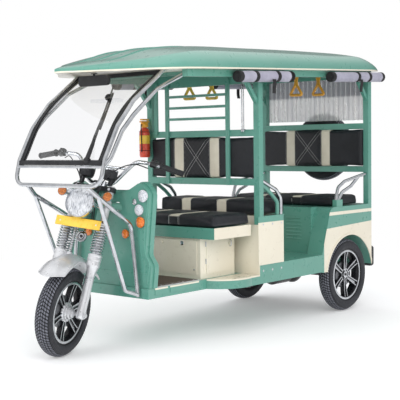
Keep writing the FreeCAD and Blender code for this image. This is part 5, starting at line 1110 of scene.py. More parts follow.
def tyre_mesh():
    form = Form()
    section = tyre_section()
    rows = []
    count = BLOCKS_ROUND * STEPS_A_BLOCK
    for turn in turns(count):
        row = []
        for across, radius, tread in section:
            size = radius - GROOVE_DEPTH * block_height(across, turn) * tread
            lug = max(0.0, math.sin(turn * BLOCKS_ROUND)) if 0.2 < radius < 0.222 and not tread else 0.0
            row.append((math.cos(turn) * size, across * (1 - SHOULDER_LUG * lug), math.sin(turn) * size))
        rows.append(row)
    form.rows(rows, wrap=True, ring=False)
    half, radius = section[0][:2]
    inside = [[(math.cos(turn) * radius, across, math.sin(turn) * radius) for across in (half, -half)]
              for turn in turns(count)]
    form.rows(inside, wrap=True, ring=False)
    return form.mesh("tyre_with_tread", sharp=30)


BLADE_WIDTH = 0.0085
DRUM_RADIUS = 0.086
DRUM_RIBS = 24


def rim_mesh():
    """A cast wheel: stepped ring, twin blades in six pairs, and a dished hub."""
    form = Form()
    ring = [(0.1655, -0.0358), (0.1664, -0.0352), (0.1664, -0.0335), (0.158, -0.0325), (0.152, -0.026),
            (0.143, -0.02), (0.143, 0.012), (0.147, 0.02), (0.149, 0.0285), (0.1505, 0.0325),
            (0.153, 0.0352), (0.158, 0.036), (0.1636, 0.0358), (0.1664, 0.0348), (0.1664, 0.0322),
            (0.1584, 0.0318), (0.1584, -0.03), (0.1664, -0.033)]
    rows = [[(math.cos(turn) * radius, across, math.sin(turn) * radius) for radius, across in ring]
            for turn in turns(96)]
    form.rows(rows, wrap=True)
    for pair in range(6):
        turn = math.radians(60 * pair + 30)
        for side in (-1, 1):
            blade(form, turn, side)
        web(form, turn)
    hub = [(0.0, -0.029), (0.04, -0.029), (0.045, -0.026), (0.046, 0.012), (0.0445, 0.02), (0.04, 0.0225),
           (0.036, 0.0215), (0.0345, 0.0165), (0.026, 0.0155), (0.0245, 0.022), (0.0225, 0.0245),
           (0.0, 0.0252)]
    lathe(form, hub, axis=(0, 1, 0), count=60)
    for turn in turns(5):
        centre = (math.cos(turn) * 0.0305, 0.0, math.sin(turn) * 0.0305)
        lathe(form, [(0.0042, 0.014), (0.0042, 0.0212), (0.0034, 0.0222), (0.0, 0.0222)], centre, (0, 1, 0),
              6)
    return form.mesh("cast_rim", sharp=32)


def blade(form, turn, side):
    """One blade of a pair, from the hub out to the ring, with a bevelled face."""
    rows = []
    stations = ((0.036, 0.0085, 0.021), (0.05, 0.0098, 0.0215), (0.08, 0.0112, 0.023),
                (0.115, 0.0128, 0.0262),
                (0.138, 0.0142, 0.0296), (0.1505, 0.0152, 0.0318))
    for radius, offset, face in stations:
        half = BLADE_WIDTH / 2 * (1.1 if radius < 0.06 else 0.9)
        corners = [(-half - 0.002, face - 0.03), (half + 0.002, face - 0.03), (half + 0.001, face - 0.002),
                   (half - 0.001, face), (-half + 0.001, face), (-half - 0.001, face - 0.002)]
        rows.append([(radius * math.cos(turn) - (side * offset + shift) * math.sin(turn), across,
                      radius * math.sin(turn) + (side * offset + shift) * math.cos(turn))
                     for shift, across in corners])
    form.rows(rows, caps=True)


def web(form, turn):
    """The sunk web between the two blades of a pair."""
    rows = []
    stations = ((0.038, 0.009, 0.012), (0.08, 0.011, 0.0135), (0.12, 0.0128, 0.0165), (0.147, 0.015, 0.02))
    for radius, half, face in stations:
        rows.append([(radius * math.cos(turn) - shift * math.sin(turn), across,
                      radius * math.sin(turn) + shift * math.cos(turn))
                     for shift, across in ((-half, face - 0.02), (half, face - 0.02), (half, face),
                                           (-half, face))])
    form.rows(rows, caps=True)


def drum_mesh():
    """The brake drum behind the spokes, with a stepped and ribbed cover."""
    form = Form()
    radius = DRUM_RADIUS
    profile = [(0.0, -0.022), (radius, -0.022), (radius + 0.002, -0.018), (radius + 0.002, 0.004),
               (radius - 0.002, 0.008), (radius - 0.012, 0.009), (radius - 0.014, 0.006), (0.05, 0.006),
               (0.0, 0.006)]
    lathe(form, profile, axis=(0, 1, 0), count=72)
    for turn in turns(DRUM_RIBS):
        ahead = Vector((math.cos(turn), 0, math.sin(turn)))
        aside = Vector((-math.sin(turn), 0, math.cos(turn))) * 0.0016
        rows = []
        for reach in (0.05, radius - 0.012):
            centre = ahead * reach
            rows.append([centre - aside + Vector((0, 0.004, 0)), centre + aside + Vector((0, 0.004, 0)),
                         centre + aside * 0.6 + Vector((0, 0.0085, 0)),
                         centre - aside * 0.6 + Vector((0, 0.0085, 0))])
        form.rows(rows, caps=True)
    return form.mesh("brake_drum", sharp=32)


def add_wheels(looks):
    tread = tyre_mesh()
    rim = rim_mesh()
    drum = drum_mesh()
    for which, (tyre_node, rim_node, body) in WHEELS.items():
        place = wheel_place(which)
        piece(which + "_tread", tread, looks["tread"], body, (tyre_node,), place)
        piece(which + "_cast_rim", rim, looks["machined"], body, (rim_node,), place)
        if which != "spare":
            piece(which + "_drum", drum, looks["drum"], body, (), place)


# Curtain rolls

ROLL_RADIUS = 0.0325
ROLL_ACROSS = 0.4913
ROLL_DROP = 0.041
ROLL_SPANS = {"front": (-0.253, 0.268), "rear": (-1.313, -0.679)}
BAND_PLACES = {"front": (0.108, -0.1, -0.231), "rear": (-0.99, -1.13)}
TAIL_PLACES = {"front": -0.045, "rear": -1.01}


def roof_edge(x):
    """The height of the roof's lower edge at a place along the vehicle."""
    return ROOF_LOW + (ROOF_NOSE - x) * ROOF_SLOPE


def roll_mesh(start, end, bands):
    """Cloth wound into a roll: an uneven round with a lapped edge and drawn-in bands."""
    form = Form()
    rows = []
    along = end - start
    first, second = side_axes(along.normalized())
    stations = 90
    for step in range(stations + 1):
        share = step / stations
        centre = start + along * share
        pinch = max(groove(centre.x - band, 0.018) for band in bands)
        tuck = 0.002 * groove(min(share, 1 - share), 0.03)
        row = []
        for turn in turns(56):
            fold = noise.noise(Vector((share * 9.0 * along.length, math.cos(turn) * 1.3,
                                       math.sin(turn) * 1.3)))
            fine = noise.noise(Vector((share * 50.0 * along.length, turn * 3.0, 4.0)))
            lap = 0.0022 * max(0.0, 1 - ((turn - 4.0) % (2 * math.pi)) / 0.5)
            size = ROLL_RADIUS - 0.0012 + 0.0022 * fold + 0.0006 * fine + lap - 0.0028 * pinch - tuck
            size = min(size, ROLL_RADIUS + 0.0008)
            row.append(centre + (first * math.cos(turn) + second * math.sin(turn)) * size)
        rows.append(row)
    form.rows(rows, caps=True)
    return form


def add_rolls(looks):
    """The four rolled curtains."""
    for which, (back, front) in ROLL_SPANS.items():
        for side_name, side in (("left", 1), ("right", -1)):
            start = Vector((back, side * ROLL_ACROSS, roof_edge(back) - ROLL_DROP))
            end = Vector((front, side * ROLL_ACROSS, roof_edge(front) - ROLL_DROP))
            name = f"{which}_{side_name}"
            mesh = roll_mesh(start, end, BAND_PLACES[which]).mesh(f"{name}_roll")
            piece(f"{name}_roll", mesh, looks["roll"], nodes=("curtain_rolls",))
            add_roll_fittings(name, which, start, end, side, looks)


def add_roll_fittings(name, which, start, end, side, looks):
    """Black end cups, wide bands and one hanging strap."""
    form = Form()
    along = (end - start).normalized()
    wide = ROLL_RADIUS + 0.0006
    for tip, out in ((start, -along), (end, along)):
        lathe(form, [(0.0, -0.03), (wide - 0.0004, -0.03), (wide, -0.028), (wide, -0.002),
                     (wide - 0.002, 0.0026),
                     (0.02, 0.0034), (0.0195, 0.0062), (0.0, 0.0066)], tip, out, 40)
    for place in BAND_PLACES[which]:
        centre = start + (end - start) * ((place - start.x) / (end.x - start.x))
        lathe(form, [(0.03, -0.015), (wide - 0.001, -0.015), (wide, -0.0135), (wide, 0.0135),
                     (wide - 0.001, 0.015),
                     (0.03, 0.015)], centre, along, 40)
    centre = start + (end - start) * ((TAIL_PLACES[which] - start.x) / (end.x - start.x))
    hang = centre + Vector((0, side * 0.03, -0.018))
    tail = [hang, hang + Vector((0, 0.002 * side, -0.022)), hang + Vector((0.003, 0, -0.05)),
            hang + Vector((0.001, -0.004 * side, -0.082))]
    ribbon(form, smooth_path(tail, 5), (1, 0, 0), 0.034, 0.003)
    piece(f"{name}_roll_bands", form.mesh(f"{name}_roll_bands"), looks["webbing"])


# Fork

LAMP_CENTRE = (0.0975, 0.0, 0.578)
LEG_HALF = 0.1034
SIGNAL_CENTRE = (0.0975, 0.138, 0.632)
PLATE_CENTRE = (0.0855, 0.0, 0.473)
PLATE_HALF = (0.136, 0.026)
POD_CENTRE = (0.0, 0.07, 0.776)
HORN_CENTRE = (0.033, 0.016, 0.41)
COIL_SPAN = (0.333, 0.487)
COIL_RADIUS = 0.0345
GUARD_RADIUS = 0.31
GUARD_HALF = 0.06
GUARD_CROWN = 0.034
GUARD_SPAN = (-36, 54)
LEVER_BALL = 0.0072


def fork_piece(name, form, look, nodes=(), sharp=38.0):
    return piece(name, form.mesh(name, sharp=sharp), look, "steering", nodes, fork_place())


def helix(centre, radius, low, high, pitch, steps=22):
    """A coil round an upright line, with its end turns closed."""
    count = int((high - low) / pitch * steps)
    path = []
    for index in range(count + 1):
        turn = 2 * math.pi * index / steps
        level = low + (high - low) * index / count
        path.append((centre[0] + radius * math.cos(turn), centre[1] + radius * math.sin(turn), level))
    return path


def add_legs(looks):
    """Two telescopic legs with collars and coil springs, and a slim damper beside the right one."""
    legs = Form()
    coils = Form()
    for side in (-1, 1):
        centre = (0, side * LEG_HALF, 0)
        lathe(legs, [(0.0, -0.022), (0.018, -0.022), (0.0235, -0.016), (0.0255, -0.004), (0.0255, 0.022),
                     (0.0238, 0.03), (0.0238, 0.2), (0.0252, 0.228), (0.0305, 0.246), (0.0335, 0.258),
                     (0.0372, 0.264), (0.038, 0.27), (0.038, 0.287), (0.036, 0.291), (0.038, 0.295),
                     (0.038, 0.31),
                     (0.036, 0.314), (0.038, 0.318), (0.038, 0.326), (0.0345, 0.33), (0.02, 0.331),
                     (0.0185, 0.34),
                     (0.0185, 0.66), (0.0175, 0.677), (0.0, 0.677)], centre, (0, 0, 1), 64)
        lathe(legs, [(0.018, 0.487), (0.0372, 0.487), (0.038, 0.489), (0.038, 0.494), (0.036, 0.497),
                     (0.018, 0.497)], centre, (0, 0, 1), 56)
        path = helix(centre, COIL_RADIUS, COIL_SPAN[0] + 0.002, COIL_SPAN[1] - 0.002, 0.0146)
        tube(coils, path, 0.0041, 8)
    fork_piece("leg_tubes", legs, looks["bright"], ("fork_legs",))
    beside = (0, -0.052, 0)
    tube(coils, helix(beside, 0.0135, 0.322, 0.487, 0.0125, 16), 0.0028, 7)
    fork_piece("leg_coils", coils, looks["chrome"], ("fork_springs",))
    damper = Form()
    lathe(damper, [(0.0, 0.3), (0.012, 0.3), (0.0165, 0.306), (0.0165, 0.32), (0.008, 0.322), (0.008, 0.49),
                   (0.0, 0.49)], beside, (0, 0, 1), 28)
    slab(damper, (-0.008, -0.078, 0.302), (0.008, -0.055, 0.316), 0.002)
    fork_piece("side_damper", damper, looks["bright"])


def guard_point(degrees, across, thick=0.0):
    """A place on the mudguard's shell at an angle from straight up and a share of its half width."""
    turn = math.radians(degrees)
    reach = GUARD_RADIUS - thick - GUARD_CROWN * abs(across) ** 2.3
    half = GUARD_HALF + 0.016 * min(1.0, max(0.0, (abs(degrees) - 8) / 24)) ** 1.5
    return Vector((math.sin(turn) * reach, across * half, math.cos(turn) * reach))


def add_mudguard(looks):
    """A domed bright guard with rolled edges and stays to the legs."""
    shell = Form()
    shares = [index / 9 for index in range(-9, 10)]
    rows = []
    for degrees in range(GUARD_SPAN[0], GUARD_SPAN[1] + 1, 3):
        droop = 9.0 * max(0.0, (degrees - 27) / 27)
        row = [guard_point(degrees + droop * (1 - share ** 2), share) for share in shares]
        rows.append(row + [guard_point(degrees + droop * (1 - share ** 2), share, 0.002)
                           for share in reversed(shares)])
    shell.rows(rows, caps=True)
    for side in (-1, 1):
        tube(shell, [row[18 if side > 0 else 0] for row in rows], 0.0045, 12)
    for row in (rows[0], rows[-1]):
        tube(shell, row[:19], 0.0045, 12)
    stays = Form()
    for side in (-1, 1):
        edge = guard_point(-4, side) + Vector((0, side * 0.003, 0.0))
        low = Vector((-0.012, side * 0.0655, 0.158))
        bend = edge + Vector((0.0, side * 0.001, -0.02))
        ribbon(stays, smooth_path([edge, bend, low], 5), (1, 0, 0), 0.015, 0.003)
        tube(stays, [low + Vector((0, 0, 0.006)), (0.0, side * 0.0805, 0.158)], 0.0035, 8)
        ring = [(0.0265 * math.cos(turn), side * LEG_HALF + 0.0265 * math.sin(turn),
                 0.205 - 0.008 * math.cos(turn))
                for turn in turns(40)]
        tube(stays, ring, 0.0032, 8, wrap=True)
        dome(stays, edge + Vector((0, side * 0.002, -0.012)), (0, side, 0), 0.0045)
    arm = Form()
    slab(arm, (-0.064, 0.086, -0.012), (-0.028, 0.1, 0.078), 0.004)
    lathe(arm, [(0.0, 0.0), (0.012, 0.0), (0.012, 0.006), (0.0, 0.007)], (-0.046, 0.1, 0.06), (0, 1, 0), 20)
    fork_piece("brake_arm", arm, looks["black_plastic"])
    fork_piece("guard_shell", shell, looks["bright"], ("front_mudguard",))
    fork_piece("guard_stays", stays, looks["chrome"])


def add_headlamp(looks):
    """A chrome bowl and rim round a fluted glass, held by ears on the legs."""
    centre = Vector(LAMP_CENTRE)
    ahead = (1, 0, 0)
    bowl = Form()
    lathe(bowl, [(0.0, -0.0515), (0.03, -0.051), (0.05, -0.044), (0.066, -0.03), (0.0765, -0.01),
                 (0.081, 0.006),
                 (0.0825, 0.0115), (0.0855, 0.0125), (0.0858, 0.0175), (0.0845, 0.021), (0.0848, 0.026),
                 (0.0835, 0.0295), (0.0815, 0.0305), (0.0802, 0.0285), (0.08, 0.018), (0.06, 0.004),
                 (0.0, -0.02)],
          centre, ahead, 72)
    for side in (-1, 1):
        path = [(0.02, side * 0.082, 0.578), (0.055, side * 0.082, 0.578), (0.0975, side * 0.079, 0.578)]
        tube(bowl, smooth_path(path, 5), 0.0085, 12)
        lathe(bowl, [(0.0, 0.0), (0.0125, 0.0), (0.0135, 0.002), (0.0135, 0.008), (0.011, 0.011),
                     (0.0, 0.0115)],
              centre + Vector((0.0, side * 0.0745, 0.0)), (0, side, 0), 24)
    fork_piece("headlamp_bowl", bowl, looks["chrome"], ("headlamp",))
    glass = Form()
    ball = 0.19
    sag = math.sqrt(ball ** 2 - 0.0802 ** 2)
    profile = [(0.0802 * share, 0.021 + math.sqrt(ball ** 2 - (0.0802 * share) ** 2) - sag)
               for share in (0.0, 0.15, 0.3, 0.45, 0.6, 0.75, 0.88, 0.96, 1.0)]
    lathe(glass, profile + [(0.0795, 0.0185), (0.0, 0.0185)], centre, ahead, 72)
    fork_piece("headlamp_glass", glass, looks["lamp_glass"], (), 60)


def add_signals(looks):
    """Round amber signals in chrome cups on short stalks."""
    cups = Form()
    lenses = Form()
    for side in (-1, 1):
        centre = Vector((SIGNAL_CENTRE[0], side * SIGNAL_CENTRE[1], SIGNAL_CENTRE[2]))
        lathe(cups, [(0.0, -0.04), (0.011, -0.0395), (0.0165, -0.034), (0.021, -0.022), (0.0255, -0.011),
                     (0.0268, -0.0095), (0.0268, -0.006), (0.0255, -0.005), (0.0, -0.005)], centre, (1, 0, 0),
                     40)
        path = [(0.004, side * (LEG_HALF + 0.019), SIGNAL_CENTRE[2]), (0.03, side * 0.131, SIGNAL_CENTRE[2]),
                (0.062, side * 0.138, SIGNAL_CENTRE[2])]
        tube(cups, smooth_path(path, 6), 0.0075, 12)
        lathe(lenses, [(0.0, -0.006), (0.0252, -0.006), (0.0256, -0.003), (0.024, 0.0005), (0.019, 0.0028),
                       (0.011, 0.0042), (0.0, 0.0046)], centre, (1, 0, 0), 40)
    fork_piece("signal_cups", cups, looks["chrome"], ("front_turn_signals",))
    fork_piece("signal_lenses", lenses, looks["amber_lens"], (), 60)


def add_horn(looks):
    """A small chrome disc horn with a black centre, on a bent bracket."""
    centre = Vector(HORN_CENTRE)
    shell = Form()
    lathe(shell, [(0.0, -0.012), (0.02, -0.011), (0.0285, -0.004), (0.0305, 0.004), (0.0308, 0.009),
                  (0.0295, 0.0125),
                  (0.0262, 0.0135), (0.0235, 0.0112), (0.02, 0.0118), (0.0165, 0.0132), (0.014, 0.012),
                  (0.0, 0.012)], centre, (1, 0, 0), 56)
    slab(shell, centre + Vector((-0.014, -0.007, 0.01)), centre + Vector((-0.010, 0.007, 0.082)), 0.0018)
    fork_piece("horn_shell", shell, looks["chrome"], ("horn",))
    core = Form()
    ring = [centre + Vector((0.0125, 0.018 * math.cos(turn), 0.018 * math.sin(turn)))
            for turn in turns(40)]
    tube(core, ring, 0.0026, 8, wrap=True)
    lathe(core, [(0.0, 0.0118), (0.0078, 0.0118), (0.0078, 0.0142), (0.0062, 0.0155), (0.0, 0.016)], centre,
          (1, 0, 0), 32)
    fork_piece("horn_core", core, looks["black_plastic"])


def add_plate(looks):
    """A blank yellow plate with a folded edge on a black carrier."""
    centre = Vector(PLATE_CENTRE)
    half, tall = PLATE_HALF
    sheet = Form()
    slab(sheet, centre - Vector((0.0013, half, tall)), centre + Vector((0.0013, half, tall)), 0.0012)
    path = rounded_loop(half - 0.003, tall - 0.003, 0.005)
    tube(sheet, [centre + Vector((0.0008, y, z)) for y, z in path], 0.0013, 8, wrap=True)
    fork_piece("blank_plate", sheet, looks["yellow"], ("number_plate",))
    carrier = Form()
    slab(carrier, centre + Vector((-0.0585, -0.034, -0.014)), centre + Vector((-0.0016, 0.034, 0.01)), 0.0018)
    fork_piece("plate_carrier", carrier, looks["black_metal"])
    screws = Form()
    for across in (-0.8, 0.8):
        dome(screws, centre + Vector((0.0012, across * half, 0.0)), (1, 0, 0), 0.0032)
    fork_piece("plate_screws", screws, looks["bright"])


def rounded_loop(half, tall, corner):
    """A rectangle with round corners, as (across, up) places."""
    path = []
    steps = 5
    for quarter, (across, up) in enumerate(((1, 1), (-1, 1), (-1, -1), (1, -1))):
        for step in range(steps + 1):
            turn = math.pi / 2 * (quarter + step / steps)
            path.append((across * (half - corner) + corner * math.cos(turn),
                         up * (tall - corner) + corner * math.sin(turn)))
    return path


def dome(form, place, normal, radius):
    """A washer under a domed screw head."""
    profile = [(0.0, 0.0), (1.45, 0.0), (1.45, 0.18), (1.05, 0.22), (1.0, 0.5), (0.72, 0.75), (0.0, 0.85)]
    lathe(form, [(radius * out, radius * up) for out, up in profile], place, normal, 20)


def hex_bolt(form, place, normal, radius):
    """A washer under a six-sided head."""
    washer = [(0.0, 0.0), (1.4, 0.0), (1.4, 0.2), (0.0, 0.2)]
    head = [(0.0, 0.2), (1.0, 0.2), (1.0, 0.72), (0.82, 0.86), (0.0, 0.86)]
    for profile, sides in ((washer, 20), (head, 6)):
        lathe(form, [(radius * out, radius * up) for out, up in profile], place, normal, sides)


def add_pods(looks):
    """Two black instruments with chrome rings, dials and needles."""
    shells = Form()
    rings = Form()
    dials = Form()
    glass = Form()
    up = (0, 0, 1)
    for side in (-1, 1):
        centre = Vector((POD_CENTRE[0], side * POD_CENTRE[1], POD_CENTRE[2]))
        lathe(shells, [(0.0, -0.0305), (0.026, -0.03), (0.037, -0.025), (0.0425, -0.012), (0.0438, 0.004),
                       (0.0438, 0.018), (0.0415, 0.0215), (0.0, 0.0215)], centre, up, 56)
        stem = centre + Vector((0, side * 0.018, 0))
        lathe(shells, [(0.0, -0.062), (0.0125, -0.062), (0.0135, -0.045), (0.0145, -0.028), (0.0, -0.028)],
              stem, up, 24)
        lathe(rings, [(0.0385, 0.021), (0.0436, 0.0195), (0.044, 0.0225), (0.0436, 0.0275), (0.0405, 0.0295),
                      (0.0375, 0.0265)], centre, up, 56)
        lathe(dials, [(0.0, 0.0222), (0.0375, 0.0222), (0.0375, 0.0228), (0.0, 0.0228)], centre, up, 48)
        for mark in range(13):
            turn = math.radians(-45 + 22.5 * mark)
            ray = Vector((math.cos(turn), math.sin(turn), 0))
            tube(rings, [centre + ray * reach + Vector((0, 0, 0.0229)) for reach in (0.031, 0.035)], 0.0005,
                 6)
        needle = [centre + Vector((0, 0, 0.0242)), centre + Vector((-0.02, -0.018 * side, 0.0242))]
        tube(rings, needle, [0.0012, 0.0004], 8)
        lathe(glass, [(0.0, 0.0285), (0.02, 0.0281), (0.0375, 0.0266), (0.0375, 0.0258), (0.0, 0.0274)],
              centre, up, 48)
    fork_piece("pod_shells", shells, looks["black_plastic"], ("instrument_pods",))
    fork_piece("pod_rings", rings, looks["chrome"])
    fork_piece("pod_dials", dials, looks["dial"])
    fork_piece("pod_glass", glass, looks["cover_glass"])


def add_fork_details(looks):
    """Clamp bolts, leg caps, axle nuts and blocks, and the three cables."""
    bright = Form()
    for side in (-1, 1):
        across = side * LEG_HALF
        for level in (0.5, 0.69):
            hex_bolt(bright, (0.0255, across * 0.97, level), (1, 0, 0), 0.0055)
        lathe(bright, [(0.0, 0.0), (0.0175, 0.0), (0.0185, 0.003), (0.0165, 0.0075), (0.011, 0.009),
                       (0.0, 0.0095)],
              (0, across, 0.7035), (0, 0, 1), 32)
        hex_bolt(bright, (0, side * (LEG_HALF + 0.0225), 0.0), (0, side, 0), 0.0125)
        hex_bolt(bright, (0.0235, across, 0.012), (1, 0, 0), 0.006)
        slab(bright, (-0.034, across - 0.011, -0.012), (-0.018, across + 0.011, 0.02), 0.003)
        tube(bright, [(0, across, 0), (0, side * 0.062, 0)], 0.0105, 20)
    fork_piece("fork_bright_fittings", bright, looks["bright"])
    cables = Form()
    for side, reach in ((-1, 0.03), (1, 0.042), (1, 0.02)):
        path = [(-0.06, side * 0.26, 0.855), (0.0, side * 0.2, 0.852), (0.045, side * 0.13, 0.8),
                (0.052, side * 0.07, 0.72), (reach, side * 0.04, 0.6), (reach, side * 0.055, 0.5)]
        tube(cables, smooth_path(path, 8), 0.003, 8)
    fork_piece("fork_cables", cables, looks["black_plastic"])


def add_controls(looks):
    """Ribbed grips, switch boxes, ball-ended levers and their clamps."""
    rubbers = Form()
    boxes = Form()
    for side in (-1, 1):
        inner = Vector((-0.064, side * 0.325, 0.8775))
        outer = Vector((-0.1125, side * 0.451, 0.861))
        along = (outer - inner).normalized()
        span = (outer - inner).length
        profile = [(0.0, 0.0), (0.0205, 0.0), (0.0215, 0.002), (0.0205, 0.005), (0.0165, 0.007)]
        for rib in range(14):
            start = 0.01 + (span - 0.02) * rib / 14
            profile += [(0.0152, start), (0.0164, start + 0.002), (0.0164, start + 0.0055),
                        (0.0152, start + 0.0072)]
        profile += [(0.0178, span - 0.006), (0.0178, span - 0.001), (0.015, span), (0.0, span)]
        lathe(rubbers, profile, inner, along, 32)
        hub = Vector((-0.062, side * 0.286, 0.8835))
        lathe(boxes, [(0.0, -0.019), (0.019, -0.019), (0.0225, -0.016), (0.0225, 0.014), (0.0205, 0.018),
                      (0.0, 0.018)], hub, along, 32)
        slab(boxes, hub + Vector((-0.012, -0.014, 0.01)), hub + Vector((0.016, 0.014, 0.0235)), 0.004)
        lever = [hub + Vector((0.014, side * 0.004, 0.004)), hub + Vector((0.024, side * 0.022, 0.0)),
                 hub + Vector((0.014, side * 0.066, -0.011)), hub + Vector((-0.009, side * 0.112, -0.021)),
                 hub + Vector((-0.021, side * 0.135, -0.025))]
        tube(boxes, smooth_path(lever, 7), 0.0042, 10)
        ball = [(LEVER_BALL * math.sin(math.pi * step / 8), -LEVER_BALL * math.cos(math.pi * step / 8))
                for step in range(9)]
        lathe(boxes, ball, lever[-1], (0, 0, 1), 16)
    fork_piece("grips", rubbers, looks["black_plastic"], ("handlebar_controls",))
    fork_piece("levers", boxes, looks["black_metal"])


def add_fork(looks):
    for build in (add_controls, add_legs, add_mudguard, add_headlamp, add_signals, add_horn, add_plate,
                  add_pods,
                  add_fork_details):
        build(looks)


# Straps, wiper, extinguisher and small fittings

STRAPS = ((-0.977, 0.2, 1.437), (-0.717, 0.2, 1.426), (-0.327, -0.2, 1.41), (-0.107, -0.2, 1.401))
STRAP_CORNERS = ((0.0, 0.084), (-0.0505, 0.0105), (0.0505, 0.0105))
STRAP_STATIONS = ((0.074, 0.016, 0.0085), (0.084, 0.0155, 0.0075), (0.096, 0.0125, 0.005),
                  (0.112, 0.0145, 0.004),
                  (0.122, 0.018, 0.0035), (0.151, 0.018, 0.0035))
STRAP_SECTION = ((-1, -0.8), (-0.5, -1), (0.5, -1), (1, -0.8), (1, 0.8), (0.5, 1), (-0.5, 1), (-1, 0.8))


HOSE_CLIP = 0.0352


def add_straps(looks):
    """Yellow webbing straps that narrow into thick triangular handles."""
    for index, (x, y, low) in enumerate(STRAPS):
        form = Form()
        corners = [Vector((x, y + across, low + up)) for across, up in STRAP_CORNERS]
        loop = []
        for first in range(3):
            corner, after, before = (corners[(first + step) % 3] for step in range(3))
            out = (after - corner).normalized() * 0.02
            back = (before - corner).normalized() * 0.02
            for step in range(6):
                share = step / 5
                loop.append(corner + back * (1 - share) ** 2 + out * share ** 2)
        tube(form, loop, 0.0095, 14, wrap=True)
        rows = [[(x + thick * a, y + half * b, low + level) for a, b in STRAP_SECTION]
                for level, half, thick in STRAP_STATIONS]
        form.rows(rows, caps=True)
        # painted light: the straps on one side take the paler, lit copy of the yellow
        look = looks["strap"] if y > 0 else looks["near_strap"]
        piece(f"strap_{index}", form.mesh(f"strap_{index}"), look,
              nodes=("hand_straps",))


def add_extinguisher(looks):
    """A small bottle with a yellow head, a plain band and a short hose."""
    centre = Vector((0.0645, -0.4395, 0.0))
    bottle = Form()
    lathe(bottle, [(0.0, 1.041), (0.028, 1.041), (0.0325, 1.046), (0.034, 1.054), (0.034, 1.19),
                   (0.0325, 1.206),
                   (0.026, 1.222), (0.0145, 1.231), (0.0125, 1.236), (0.0, 1.236)], centre, (0, 0, 1), 48)
    piece("bottle", bottle.mesh("bottle"), looks["red"], nodes=("fire_extinguisher",))
    band = Form()
    lathe(band, [(0.0338, 1.128), (0.0344, 1.1285), (0.0344, 1.1815), (0.0338, 1.182)], centre, (0, 0, 1), 48)
    piece("bottle_band", band.mesh("bottle_band"), looks["yellow"])
    head = Form()
    lathe(head, [(0.0, 1.232), (0.022, 1.232), (0.025, 1.237), (0.025, 1.258), (0.02, 1.266), (0.0, 1.267)],
          centre, (0, 0, 1), 32)
    slab(head, centre + Vector((-0.034, -0.013, 1.264)), centre + Vector((0.034, 0.013, 1.274)), 0.003)
    slab(head, centre + Vector((-0.034, -0.012, 1.278)), centre + Vector((0.03, 0.012, 1.288)), 0.003)
    tube(head, [centre + Vector((-0.024, 0, 1.262)), centre + Vector((-0.026, 0, 1.284))], 0.004, 10)
    piece("bottle_head", head.mesh("bottle_head"), looks["orange"])
    hose = Form()
    path = [centre + Vector(step) for step in ((0.016, 0, 1.25), (0.034, 0.004, 1.246), (0.0385, 0.008, 1.2),
                                                (0.0385, 0.01, 1.13), (0.037, 0.008, 1.075))]
    tube(hose, smooth_path(path, 6), 0.0034, 10)
    for level in (1.085, 1.205):
        ring = [centre + Vector((HOSE_CLIP * math.cos(turn), HOSE_CLIP * math.sin(turn), level))
                for turn in turns(40)]
        tube(hose, ring, 0.0016, 6, wrap=True)
    piece("bottle_hose", hose.mesh("bottle_hose"), looks["black_plastic"])


def add_front_hub(looks):
    """The front wheel's bright stepped hub and its flange bolts."""
    hub = Form()
    lathe(hub, [(0.0, 0.012), (0.054, 0.012), (0.054, 0.0175), (0.05, 0.0215), (0.044, 0.0225), (0.042, 0.03),
                (0.036, 0.0325), (0.033, 0.0425), (0.026, 0.0455), (0.0235, 0.056), (0.0175, 0.0585),
                (0.0165, 0.0615),
                (0.0, 0.0615)], axis=(0, 1, 0), count=60)
    for turn in turns(6):
        hex_bolt(hub, (0.0475 * math.cos(turn), 0.0218, 0.0475 * math.sin(turn)), (0, 1, 0), 0.004)
    piece("front_hub", hub.mesh("front_hub"), looks["bright"], "front_wheel", (), fork_place())


def add_wiper(looks):
    """A tapered black arm on a pivot, with its rubber blade on the glass."""
    form = Form()
    foot = Vector((1.163, 0.222, 1.04))
    tip = Vector((0.8, 0.052, 1.43))
    bow = Vector((0.986, 0.16, 1.262))
    out = Vector((0.74, 0.0, 0.67))
    path = [point + out * 0.012 for point in smooth_path([foot, bow, tip], 10)]
    rows = []
    last = len(path) - 1
    for index, point in enumerate(path):
        share = index / last
        lean = (path[min(index + 1, last)] - path[max(index - 1, 0)]).normalized()
        across = lean.cross(out).normalized()
        wide = 0.0165 * max(0.3, 1 - share * 1.2)
        thick = 0.008 * max(0.5, 1 - share)
        rows.append([point + across * wide * a + out * thick * b
                     for a, b in ((-1, -0.5), (1, -0.5), (1, 0.1), (0.5, 0.5), (-0.5, 0.5), (-1, 0.1))])
    form.rows(rows, caps=True)
    lathe(form, [(0.0, -0.006), (0.0165, -0.006), (0.0175, 0.012), (0.014, 0.02), (0.0, 0.021)], foot, out,
          28)
    side = Vector((0.0, 0.012, -0.002))
    blade = [path[share] + side - out * 0.004 for share in range(last // 2 - 3, last - 1)]
    tube(form, blade, 0.0058, 8)
    tube(form, [point - out * 0.004 for point in blade], 0.0016, 6)
    tube(form, [path[last * 3 // 4], blade[len(blade) * 2 // 3]], 0.0035, 8)
    knob = path[last * 5 // 6]
    lathe(form, [(0.0, -0.004), (0.017, -0.004), (0.021, 0.004), (0.019, 0.016), (0.01, 0.024), (0.0, 0.026)],
          knob, out, 24)
    piece("wiper_arm", form.mesh("wiper_arm"), looks["gasket"], nodes=("wiper",))


def add_rod(looks):
    """Two slim bright rods behind the driver's partition."""
    form = Form()
    for y in (0.346, 0.359):
        tube(form, [(0.046, y, 1.19), (0.046, y, 1.5)], 0.0035, 10)
    for z in (1.2, 1.49):
        slab(form, (0.034, 0.34, z - 0.006), (0.05, 0.365, z + 0.006), 0.002)
    piece("partition_rods", form.mesh("partition_rods"), looks["chrome"])


